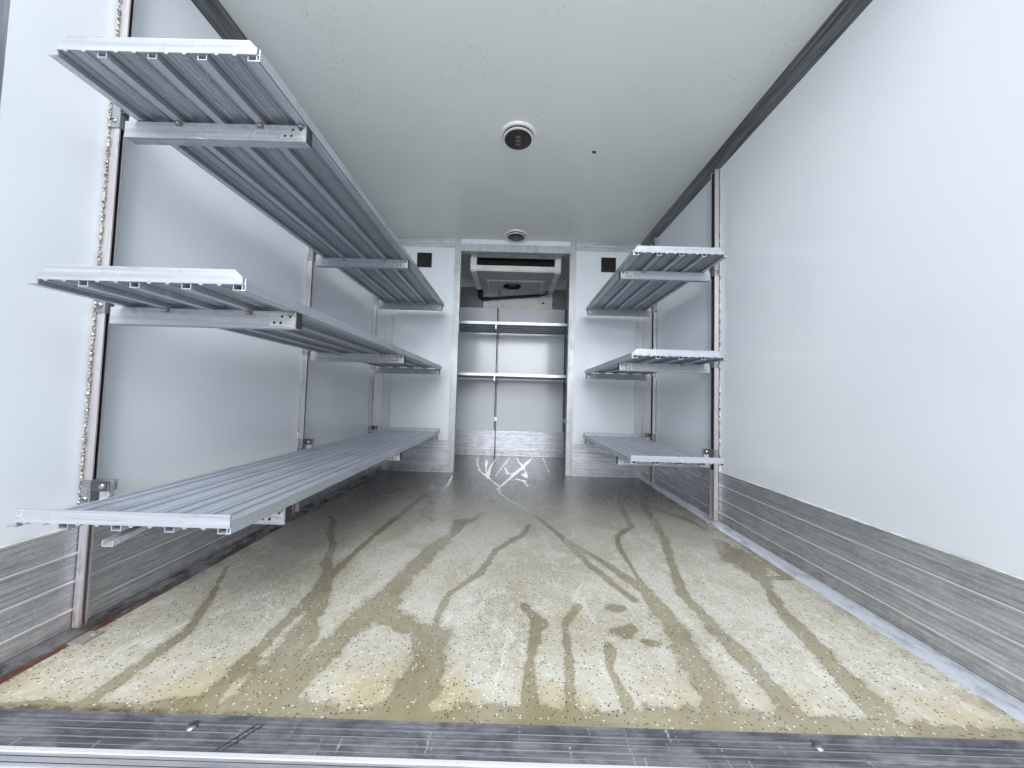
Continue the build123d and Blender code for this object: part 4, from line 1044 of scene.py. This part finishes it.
def dress_ceiling():
    """Lamp domes with their blocks, the round stud beside one, and a small dark mark."""
    low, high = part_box("ceiling_lamps")
    middle = (low.x + high.x) / 2
    domes, blocks = Shape(), Shape()
    for y in (low.y + LAMP_REACH, high.y - LAMP_REACH):
        domes.lathe((middle, y, CEILING), DOWN, DOME, 56)
        for row in (-BLOCK_PITCH, 0, BLOCK_PITCH):
            z = CEILING - 0.0268 + 0.9 * row ** 2
            blocks.block((middle - BLOCK_HALF[0], y + row - BLOCK_HALF[1], z - 0.0006),
                         (middle + BLOCK_HALF[0], y + row + BLOCK_HALF[1], z + 0.0014))
    domes.piece("lamp_domes", "lamp_body", finish="dome")
    blocks.piece("lamp_blocks", "lamp_body", finish="led", bevel=0.0015)

    stud = Shape()
    stud.lathe((*STUD_PLACE, CEILING), DOWN, STUD, 28)
    stud.piece("ceiling_stud", "lamp_body")
    mark = Shape()
    for across, along, size in MARK_LUMPS:
        mark.lathe((MARK_PLACE[0] + across, MARK_PLACE[1] + along, CEILING), DOWN,
                   [(size, 0), (size * 0.8, 0.0013), (0, 0.0019)], 12)
    mark.piece("ceiling_mark", "ceiling_profile", finish="smudge")


# Threshold: bolts across it, worn ribs by their place back from its front edge and their size
TREAD_BOLTS = (-0.560, 0.566)
TREAD_RIBS = ((0.0185, 0.5), (0.032, 0.6), (0.0455, 0.55), (0.0575, 0.5))
TREAD_RIB = ((0, -0.0016, 0), (0, -0.0008, 0.0012), (0, 0.0008, 0.0012), (0, 0.0016, 0))
TREAD_JOINTS = (-0.4345, -0.447)
LIP_SECTION = ((0, -0.0045, -0.003), (0, -0.0035, 0.0018), (0, 0.0030, 0.0018), (0, 0.0036, -0.003))
SILL_LINES = (0.0265, 0.036)
SILL_LINE = ((0, -0.0007, 0), (0, 0, 0.0004), (0, 0.0007, 0))


def dress_threshold():
    """Bolts and joints of the tread, and the bright lip of the sill behind it."""
    low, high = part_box("threshold_strip")

    def across(shape, section, y, z):
        shape.run(section, (low.x, y, z), (high.x, y, z))

    bolts = Shape()
    for x in TREAD_BOLTS:
        pan_head(bolts, (x, low.y + 0.030, high.z), UP, TREAD_BOLT)
    bolts.piece("tread_bolts", "door_steel", finish="bolt")
    tread = Shape()
    tread.block((low.x, low.y - 0.0125, high.z - 0.006), (high.x, low.y + 0.001, high.z + 0.0001))
    tread.piece("tread_edge", "tread_dark", bevel=0.0008)
    ribs = Shape()
    for back, size in TREAD_RIBS:
        across(ribs, [Vector(point) * size for point in TREAD_RIB], high.y - back, high.z - 0.0001)
    ribs.piece("tread_ribs", "tread_dark", finish="worn_rib")
    lip = Shape()
    across(lip, LIP_SECTION, low.y - 0.0165, high.z - 0.0004)
    lip.piece("sill_lip", "rear_frame_steel", finish="lip")
    grooves = Shape()
    for back in SILL_LINES:
        across(grooves, SILL_LINE, low.y - back, high.z + 0.0001)
    grooves.piece("sill_lines", "rear_frame_steel", finish="plug")
    joint = Shape()
    for start in TREAD_JOINTS:
        joint.tube([(start, low.y + 0.038, high.z), (start - 0.036, low.y - 0.010, high.z)], 0.0014, 6)
    joint.piece("tread_joint", "tread_dark", finish="plug")


# The cooler's mouth: up from its underside, its height and depth, in from the ends; fins across it
UNDERSIDE_RISE = 0.008
MOUTH_RISE = 0.048
MOUTH_HEIGHT = 0.069
MOUTH_DEPTH = 0.066
MOUTH_INSET = 0.056
MOUTH_BAYS = 26
FIN_HALF = 0.0008
# Seams of the belly by their places across, and the round inlet in it
SEAMS = (-0.262, 0.252)
SEAM_SCREWS = (-0.250, 0.240)
INLET_ACROSS = -0.035
INLET_BACK = 0.367
INLET_RADIUS = 0.0878
INLET_DEPTH = 0.0285
INLET_RINGS = 5
INLET_RING = 0.020
INLET_RING_PITCH = 0.0165
INLET_WIRES = 6
INLET_WIRE_END = 0.0905


def dress_cooler():
    """Mouth lining and fins, belly seams, and the inlet with its guard."""
    low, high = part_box("cooler_housing")
    mouth_low = low.z + UNDERSIDE_RISE + MOUTH_RISE
    mouth_high = mouth_low + MOUTH_HEIGHT
    back = low.y + 0.006
    end = back + MOUTH_DEPTH
    left, right = low.x + MOUTH_INSET, high.x - MOUTH_INSET
    lining = Shape()
    lining.block((left, end, mouth_low), (right, end + 0.0035, mouth_high))
    lining.block((left, back + 0.004, mouth_high - 0.0015), (right, end + 0.003, mouth_high + 0.0002))
    lining.block((left, back + 0.012, mouth_low - 0.0002), (right, end + 0.003, mouth_low + 0.0015))
    for number in range(1, MOUTH_BAYS):
        x = left + (right - left) * number / MOUTH_BAYS
        lining.block((x - FIN_HALF, back + 0.030, mouth_low), (x + FIN_HALF, end, mouth_high))
    for row in (1, 2):
        z = mouth_low + MOUTH_HEIGHT * row / 3
        lining.block((left, back + 0.022, z - 0.0012), (right, back + 0.036, z + 0.0012))
    lining.piece("cooler_mouth", "fan_black")

    trim = Shape()
    seam_low, seam_high = low.z - 0.0012, low.z + 0.0002
    for x in SEAMS:
        trim.block((x - 0.004, back + 0.222, seam_low), (x + 0.004, high.y - 0.012, seam_high))
    trim.block((SEAMS[0], back + 0.218, seam_low), (SEAMS[1], back + 0.224, seam_high))
    for x in SEAM_SCREWS:
        head_row(trim, (x, back + 0.238, low.z), (x, high.y - 0.03, low.z), 3, DOWN, BELLY_SCREW)
    trim.piece("cooler_trim", "unit_casing")

    inlet = Vector((INLET_ACROSS, back + INLET_BACK, low.z))
    guard = Shape()
    for number in range(INLET_RINGS):
        ring(guard, inlet - Vector((0, 0, 0.003)), DOWN, INLET_RING + number * INLET_RING_PITCH, 0.0012)
    wires = inlet - Vector((0, 0, 0.0022))
    for number in range(INLET_WIRES):
        turn = math.pi * number / INLET_WIRES
        arm = Vector((math.cos(turn), math.sin(turn), 0)) * INLET_WIRE_END
        guard.tube([wires - arm, wires + arm], 0.0012, 6)
    guard.piece("inlet_guard", "fan_black")
    inside = Shape()
    inside.lathe(inlet + Vector((0, 0, INLET_DEPTH)), DOWN,
                 [(0.0875, 0), (0.0875, 0.0012), (0.033, 0.0012)], 48)
    inside.lathe(inlet, DOWN, [(0.0318, -0.028), (0.0318, 0.0008), (0.024, 0.0022), (0, 0.0028)], 32)
    inner = INLET_RADIUS - 0.001
    inside.lathe(inlet, DOWN, [(INLET_RADIUS, -INLET_DEPTH), (INLET_RADIUS, -0.0003), (inner, -0.0003),
                               (inner, -INLET_DEPTH)], 48)
    inside.piece("inlet_lining", "fan_black")


# The pipe behind the cooler, by the levels of its ends under the ceiling, and the reach of its bends
PIPE_RADIUS = 0.010
PIPE_DROPS = (0.258, 0.196)
BEND = 0.060
# The wrap's elbow before the bend's end: across and up from the pipe's low left corner
ELBOW = ((0, BEND + 0.034), (0, BEND), (0.006, 0.034), (0.020, 0.015), (0.040, 0.005))
WRAP_STATIONS = 24
WRAP_BANDS = (3, 9, 16, 22)


def dress_pipe():
    """Insulation wrapped round the pipe behind the cooler, thicker at its left elbow."""
    low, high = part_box("cooler_hose")
    left, right = low.x + PIPE_RADIUS, high.x - PIPE_RADIUS
    y = high.y - PIPE_RADIUS
    level = CEILING - PIPE_DROPS[0]
    slope = (PIPE_DROPS[0] - PIPE_DROPS[1]) / (right - left)

    def on_slope(inset):
        return Vector((left + inset, y, level + inset * slope))

    wrap = Shape()
    elbow = [(left + across, y, level + up) for across, up in ELBOW]
    wrap.tube(elbow + [on_slope(BEND), on_slope(BEND + 0.035)], 0.024, 12, 0.12)
    length = right - left - 2 * BEND
    straight = [on_slope(BEND + length * number / WRAP_STATIONS) for number in range(WRAP_STATIONS + 1)]
    wrap.tube(straight, 0.0150, 12, 0.08)
    half_band = Vector((0.006, 0, 0.006 * slope))
    for number in WRAP_BANDS:
        wrap.tube([straight[number] - half_band, straight[number] + half_band], 0.0166, 12)
    wrap.piece("pipe_wrap", "hose_rubber")


def dress_cover():
    """Latch and screws of the cover below the cooler, and dark bands on the wall at its ends, a painted
    shade.
    """
    low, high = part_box("pipe_cover")
    latch = Shape()
    latch.block((0.286, low.y - 0.010, 1.893), (0.311, low.y, 1.908))
    latch.block((0.290, low.y - 0.016, 1.898), (0.298, low.y - 0.009, 1.903))
    latch.piece("cover_latch", "fan_black", finish="plug", bevel=0.0012)
    heads = Shape()
    for x in (low.x + 0.02, 0.0, high.x - 0.02):
        for z in (low.z + 0.015, high.z - 0.015):
            pan_head(heads, (x, low.y, z), TO_REAR, COVER_SCREW)
    heads.piece("cover_screws", "door_steel", finish="bolt")
    # Painted shade: thin dark sheets on the wall beside the cover
    band = Shape()
    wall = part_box("front_wall")[0].y
    for start, end in ((-WALL + 0.001, low.x - 0.001), (high.x + 0.001, WALL - 0.001)):
        band.block((start, wall - 0.0015, low.z), (end, wall, high.z + 0.04))
    band.piece("front_band", "ceiling_profile", finish="dark_panel")


# Slots of the uprights and posts: floor and mouth by their distance from the wall, the metal beside
# the slot, and the thickness of the dark sheets, painted shade, on its floor and on its sides
SLOT_FLOOR = 0.0102
SLOT_MOUTH = 0.0235
SLOT_WALL = 0.0032
FLOOR_SHADE_SHEET = 0.0012
SIDE_SHADE_SHEET = 0.0005


def dress_slots():
    """Dark sheets that paint the shade in the slots of the uprights and posts, and dark lines of painted
    shadow beside some of them.
    """
    lining, shade = Shape(), Shape()
    bottom, top = KICK_TOP + 0.002, SLOT_SHADE_TOP
    for side, sign in SIDES:
        half = UPRIGHT_HALF[side] - SLOT_WALL
        floors = lining if side == "left" else shade
        deep = sign * (WALL - SLOT_FLOOR)
        # Painted shade: dark sheets on the floor and sides of each slot
        for y in carrier_places(side):
            floors.block((deep, y - half, bottom), (deep - sign * FLOOR_SHADE_SHEET, y + half, top))
            for way in (-1, 1):
                lining.block((deep, y + way * half, bottom),
                             (sign * (WALL - SLOT_MOUTH), y + way * (half - SIDE_SHADE_SHEET), top))
    # Painted shadow: a dark line beside each right upright
    for y in carrier_places("right"):
        edge = y - UPRIGHT_HALF["right"]
        lining.block((WALL - 0.0022, edge - 0.0045, bottom), (WALL - 0.0002, edge - 0.0002, top))
    start, end = FLOOR + 0.004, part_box("pipe_cover")[0].z - 0.003
    half = FRONT_POST_HALF - SLOT_WALL
    deep = FRONT_FACE - SLOT_FLOOR
    for x in FRONT_POSTS:
        lining.block((x - half, deep - FLOOR_SHADE_SHEET, start), (x + half, deep, end))
        # Painted shadow: a dark strip beside each front post
        lining.block((x - FRONT_POST_HALF - 0.011, FRONT_FACE - 0.008, bottom),
                     (x - FRONT_POST_HALF - 0.0004, FRONT_FACE - 0.0002, end))
        for way in (-1, 1):
            lining.block((x + way * half, FRONT_FACE - SLOT_MOUTH, start),
                         (x + way * (half - SIDE_SHADE_SHEET), deep, end))
    lining.piece("slot_lining", "seal_rubber", finish="plug")
    shade.piece("slot_floors", "profile_aluminium", finish="slot_floor")


# Partition fans: a fan's middle from the end of the pair's box, its guard's rings, its corner screws
FAN_REACH = 0.0595
FAN_RINGS = (0.018, 0.027, 0.036, 0.045, 0.054)
FAN_CORNER = 0.052


def dress_fans():
    """Guard wires and corner screws of the two fans in the partition."""
    low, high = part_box("partition_fans")
    guard, screws = Shape(), Shape()
    z = (low.z + high.z) / 2
    for sign in (-1, 1):
        x = sign * (high.x - FAN_REACH)
        for radius in FAN_RINGS:
            ring(guard, (x, low.y - 0.0018, z), TO_REAR, radius, 0.0009, 32)
        middle = Vector((x, low.y - 0.0010, z))
        for turn in (math.pi / 4, 3 * math.pi / 4):
            arm = Vector((math.cos(turn), 0, math.sin(turn))) * 0.060
            guard.tube([middle - arm, middle + arm], 0.0010, 6)
        for u in (-FAN_CORNER, FAN_CORNER):
            for w in (-FAN_CORNER, FAN_CORNER):
                pan_head(screws, (x + u, low.y, z + w), TO_REAR, FAN_SCREW)
    guard.piece("fan_guards", "fan_black")
    screws.piece("fan_screws", "fan_black", finish="plug")


# Rear doors, as on the CAD solids, and the trim on their edges
DOOR_ROUND = 0.006
STRAP_THICKNESS = 0.006
HINGE_ROWS = (0.506, 1.281, 2.056)
STRAP_BOLTS = (0.075, 0.110, 0.145)
TRIM_PROUD = 0.0012
TRIM_WIDTH = 0.010
TRIM_END = 0.0005


def frame_run(shape, x_pair, y_pair, z_pair, width):
    """Four strips along the edges of an upright face that spans y and z."""
    (x0, x1), (y0, y1), (z0, z1) = x_pair, y_pair, z_pair
    shape.block((x0, y0, z0), (x1, y0 + width, z1))
    shape.block((x0, y1 - width, z0), (x1, y1, z1))
    shape.block((x0, y0 + width, z0), (x1, y1 - width, z0 + width))
    shape.block((x0, y0 + width, z1 - width), (x1, y1 - width, z1))


def dress_doors():
    """Edge profiles and strap bolts of the rear doors, which swing with them."""
    for side, sign in SIDES:
        low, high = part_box(f"door_leaf_{side}")
        inner, outer = sorted((abs(low.x), abs(high.x)))
        bottom, top = low.z + TRIM_END, high.z - TRIM_END
        body = f"{side}_door"
        trim = Shape()
        for face, proud in ((inner, -TRIM_PROUD), (outer, TRIM_PROUD)):
            frame_run(trim, (sign * face, sign * (face + proud)), (low.y + DOOR_ROUND, high.y - DOOR_ROUND),
                      (bottom, top), TRIM_WIDTH)
        for y, proud in ((low.y, -TRIM_PROUD), (high.y, TRIM_PROUD)):
            trim.block((sign * (inner + DOOR_ROUND), y, bottom),
                       (sign * (outer - DOOR_ROUND), y + proud, top))
        trim.piece(f"door_trim_{side}", "profile_aluminium", body, bevel=0.0004)
        bolts = Shape()
        strap_face = sign * (inner - STRAP_THICKNESS)
        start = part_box(f"door_gear_{side}")[0].y + 0.011
        for z in HINGE_ROWS:
            for back in STRAP_BOLTS:
                pan_head(bolts, (strap_face, start + back, z), (-sign, 0, 0), STRAP_BOLT)
        bolts.piece(f"strap_bolts_{side}", "door_steel", body, "bolt")


# The unit on the front wall, as on the CAD solids: its fans, its face and how far that leans
UNIT_FAN_X = 0.230
UNIT_FAN_Z = 1.991
UNIT_FACE = 1.881
UNIT_LEAN = math.atan2(0.030, 0.310)
FAN_DEPTH = 0.0445
FAN_MOUTH = 0.1495
FAN_HUB = 0.0455
FAN_BLADES = 6
BLADE_THICKNESS = 0.0015
# Its guards: rings from the hub's plate outwards, the outer hoop, and crossed wires
GUARD_HUB = 0.036
GUARD_RINGS = 7
GUARD_PITCH = 0.0205
GUARD_HOOP = 0.163
GUARD_WIRES = 8
GUARD_WIRE_END = 0.166
# Its louvres, by the height of the lowest above the unit's underside
LOUVRES = 9
LOUVRE_START = 0.10
LOUVRE_PITCH = 0.036
# A blade by distance from the fan's middle, turn about it and rise
BLADE = ((0.046, 0, 0), (0.138, 0.10, 0), (0.138, 0.52, 0.022), (0.046, 0.62, 0.022))


def dress_edges():
    """Rivets along the edge profiles."""
    rivets = Shape()
    edge_low, edge_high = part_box("roof_edges")
    rail_low, rail_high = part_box("bottom_rails")
    corner_low, corner_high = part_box("front_corners")
    line = edge_low.z + 0.020
    post_bottom, post_top = corner_low.z + 0.06, edge_low.z - 0.05

    def along(x, z, start, end, count, axis):
        head_row(rivets, (x, start, z), (x, end, z), count, axis, EDGE_RIVET)

    def upward(x, y, axis):
        head_row(rivets, (x, y, post_bottom), (x, y, post_top), 14, axis, EDGE_RIVET)

    for sign in (-1, 1):
        out = (sign, 0, 0)
        along(sign * edge_high.x, line, edge_low.y + 0.05, edge_high.y - 0.04, 21, out)
        along(sign * (edge_high.x - 0.043), edge_high.z, edge_low.y + 0.05, edge_high.y - 0.08, 21, UP)
        upward(sign * corner_high.x, corner_low.y + 0.020, out)
        upward(sign * (corner_high.x - 0.043), corner_high.y, TO_CAB)
        along(sign * rail_high.x, rail_high.z - 0.020, rail_low.y + 0.05, rail_high.y - 0.05, 20, out)
    head_row(rivets, (-edge_high.x + 0.10, edge_high.y, line), (edge_high.x - 0.10, edge_high.y, line),
             14, TO_CAB, EDGE_RIVET)
    rivets.piece("edge_rivets", "profile_aluminium", finish="bolt")


def dress_unit():
    """Guards, fans, louvres and screws of the unit on the front wall."""
    low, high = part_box("condenser_housing")
    lean = Vector((0, math.cos(UNIT_LEAN), math.sin(UNIT_LEAN)))
    guard, lining = Shape(), Shape()
    for way in (-1, 1):
        centre = Vector((way * UNIT_FAN_X, UNIT_FACE, UNIT_FAN_Z))
        for number in range(GUARD_RINGS):
            ring(guard, centre + lean * 0.006, lean, GUARD_HUB + number * GUARD_PITCH, 0.0014, 48)
        wires = centre + lean * 0.0042
        for number in range(GUARD_WIRES):
            turn = math.pi * number / GUARD_WIRES
            way_out = Vector((math.cos(turn), -math.sin(turn) * lean.z, math.sin(turn) * lean.y))
            arm = way_out * GUARD_WIRE_END
            guard.tube([wires - arm, wires + arm], 0.0013, 6)
        ring(guard, centre + lean * 0.003, lean, GUARD_HOOP, 0.0026, 48)
        guard.lathe(centre + lean * 0.006, lean, [(GUARD_HUB, -0.001), (GUARD_HUB, 0.0012), (0, 0.0022)], 32)
        back = centre - Vector((0, FAN_DEPTH, 0))
        lining.lathe(back, TO_CAB, [(FAN_MOUTH, 0.029), (FAN_MOUTH, 0.0005), (FAN_HUB, 0.0005)], 56)
        for number in range(FAN_BLADES):
            turn = 2 * math.pi * (number + 0.25) / FAN_BLADES
            blade = [(math.cos(turn + skew) * reach, 0.004 + rise, math.sin(turn + skew) * reach)
                     for reach, skew, rise in BLADE]
            lining.run(blade, back, back + Vector((0, BLADE_THICKNESS, 0)))
    guard.piece("unit_guards", "fan_black")
    lining.piece("unit_fan_lining", "fan_black", finish="plug")
    louvres, slots = Shape(), Shape()
    for way in (-1, 1):
        x = way * high.x
        louvre = ((0, 0, 0.014), (way * 0.009, 0, 0.0), (way * 0.0075, 0, -0.001), (0, 0, 0.004))
        slot = ((0, 0, -0.006), (way * 0.0006, 0, -0.006), (way * 0.0006, 0, 0.003), (0, 0, 0.003))
        for number in range(LOUVRES):
            z = low.z + LOUVRE_START + number * LOUVRE_PITCH
            louvres.run(louvre, (x, low.y + 0.05, z), (x, low.y + 0.235, z))
            slots.run(slot, (x, low.y + 0.053, z), (x, low.y + 0.232, z))
    for x in (low.x + 0.03, high.x - 0.03):
        for z in (low.z + 0.17, high.z - 0.12):
            depth = (z - UNIT_FAN_Z) * math.tan(UNIT_LEAN)
            pan_head(louvres, (x, UNIT_FACE - depth, z), lean, UNIT_SCREW)
    louvres.piece("unit_louvres", "unit_casing", smooth=False)
    slots.piece("unit_slots", "unit_casing", finish="plug", smooth=False)


# Light and surroundings

DAYLIGHT = (0.93, 0.97, 1.0)


def make_studio():
    """Even light from all round, and a pale backdrop for the camera."""
    world = bpy.data.worlds.new("studio")
    bpy.context.scene.world = world
    world.use_nodes = True
    world.node_tree.nodes.clear()
    sky = Nodes(world.node_tree)
    lighting = sky.fill(sky.add("ShaderNodeBackground"), Color=tone(232, 240, 250), Strength=0.9)
    backdrop = sky.fill(sky.add("ShaderNodeBackground"), Color=tone(236, 237, 238), Strength=1.0)
    mix = sky.add("ShaderNodeMixShader")
    sky.feed(mix.inputs[0], sky.seen())
    sky.feed(mix.inputs[1], lighting.outputs[0])
    sky.feed(mix.inputs[2], backdrop.outputs[0])
    sky.fill(sky.add("ShaderNodeOutputWorld"), Surface=mix.outputs[0])


def soft_light(name, place, target, width, height, energy):
    data = bpy.data.lights.new(name, "AREA")
    data.shape = "RECTANGLE"
    data.size = width
    data.size_y = height
    data.energy = energy
    data.color = DAYLIGHT
    lamp = add_object(name, data)
    lamp.location = place
    lamp.rotation_euler = (Vector(target) - Vector(place)).to_track_quat("-Z", "Y").to_euler()
    return lamp


# What faces the lamps outside the doorway, by the start of its name
FACING_LAMPS = ("door_leaf", "door_seal", "door_gear", "door_trim", "strap_bolts", "hinge_feet",
                "rear_post", "rear_header")


def keep_lamps_off(lamps):
    """Leave what faces the lamps to the sky's light alone, so that its pale colour doesn't clip."""
    facing = bpy.data.collections.new("facing_lamps")
    for thing in bpy.context.scene.objects:
        if thing.type == "MESH" and thing.name.startswith(FACING_LAMPS):
            facing.objects.link(thing)
    for entry in facing.collection_objects:
        entry.light_linking.link_state = "EXCLUDE"
    for lamp in lamps:
        lamp.light_linking.receiver_collection = facing


def make_ground():
    """A wide pale ground. The camera sees it partly even, so that the lamps' spot on it stays soft."""
    reach = 30
    mesh = bmesh.new()
    corners = ((-reach, -reach), (reach, -reach), (reach, reach), (-reach, reach))
    mesh.faces.new([mesh.verts.new((x, y, 0)) for x, y in corners])
    ground = Finish("studio_floor", IOR=1.3)
    haze = ground.step(ground.noise(0.8, 3, 0.5), 0.3, 0.7)
    seen = ground.seen()
    ground.base(tone(226, 227, 228), tone(221, 222, 223), haze)
    ground.paint(ground.mix(haze, tone(115, 116, 118), tone(110, 111, 113)), seen)
    even = ground.mix(seen, tone(0, 0, 0), tone(178, 180, 183))
    material = ground.close(0.8, Emission_Color=even, Emission_Strength=1)
    material.cycles.emission_sampling = "NONE"
    add_mesh("studio_floor", mesh, material)


make_camera()
make_studio()
sky_behind = soft_light("sky_behind", (0, -5.2, 2.6), (0, 0.6, 1.1), 2.6, 2.6, 240)
sky_above = soft_light("sky_above", (0, -4.4, 4.4), (0, -0.9, 0.5), 4.5, 2.4, 190)
make_ground()
dress_nodes()
make_floor()
for side, sign in SIDES:
    for name in SHELVES:
        dress_shelf(side, sign, name)
dress_brackets()
make_bent_rib()
dress_walls()
dress_ceiling()
dress_threshold()
dress_cooler()
dress_pipe()
dress_cover()
dress_fans()
dress_slots()
dress_doors()
dress_edges()
dress_unit()
keep_lamps_off((sky_behind, sky_above))

bpy.context.scene.view_settings.view_transform = "Standard"
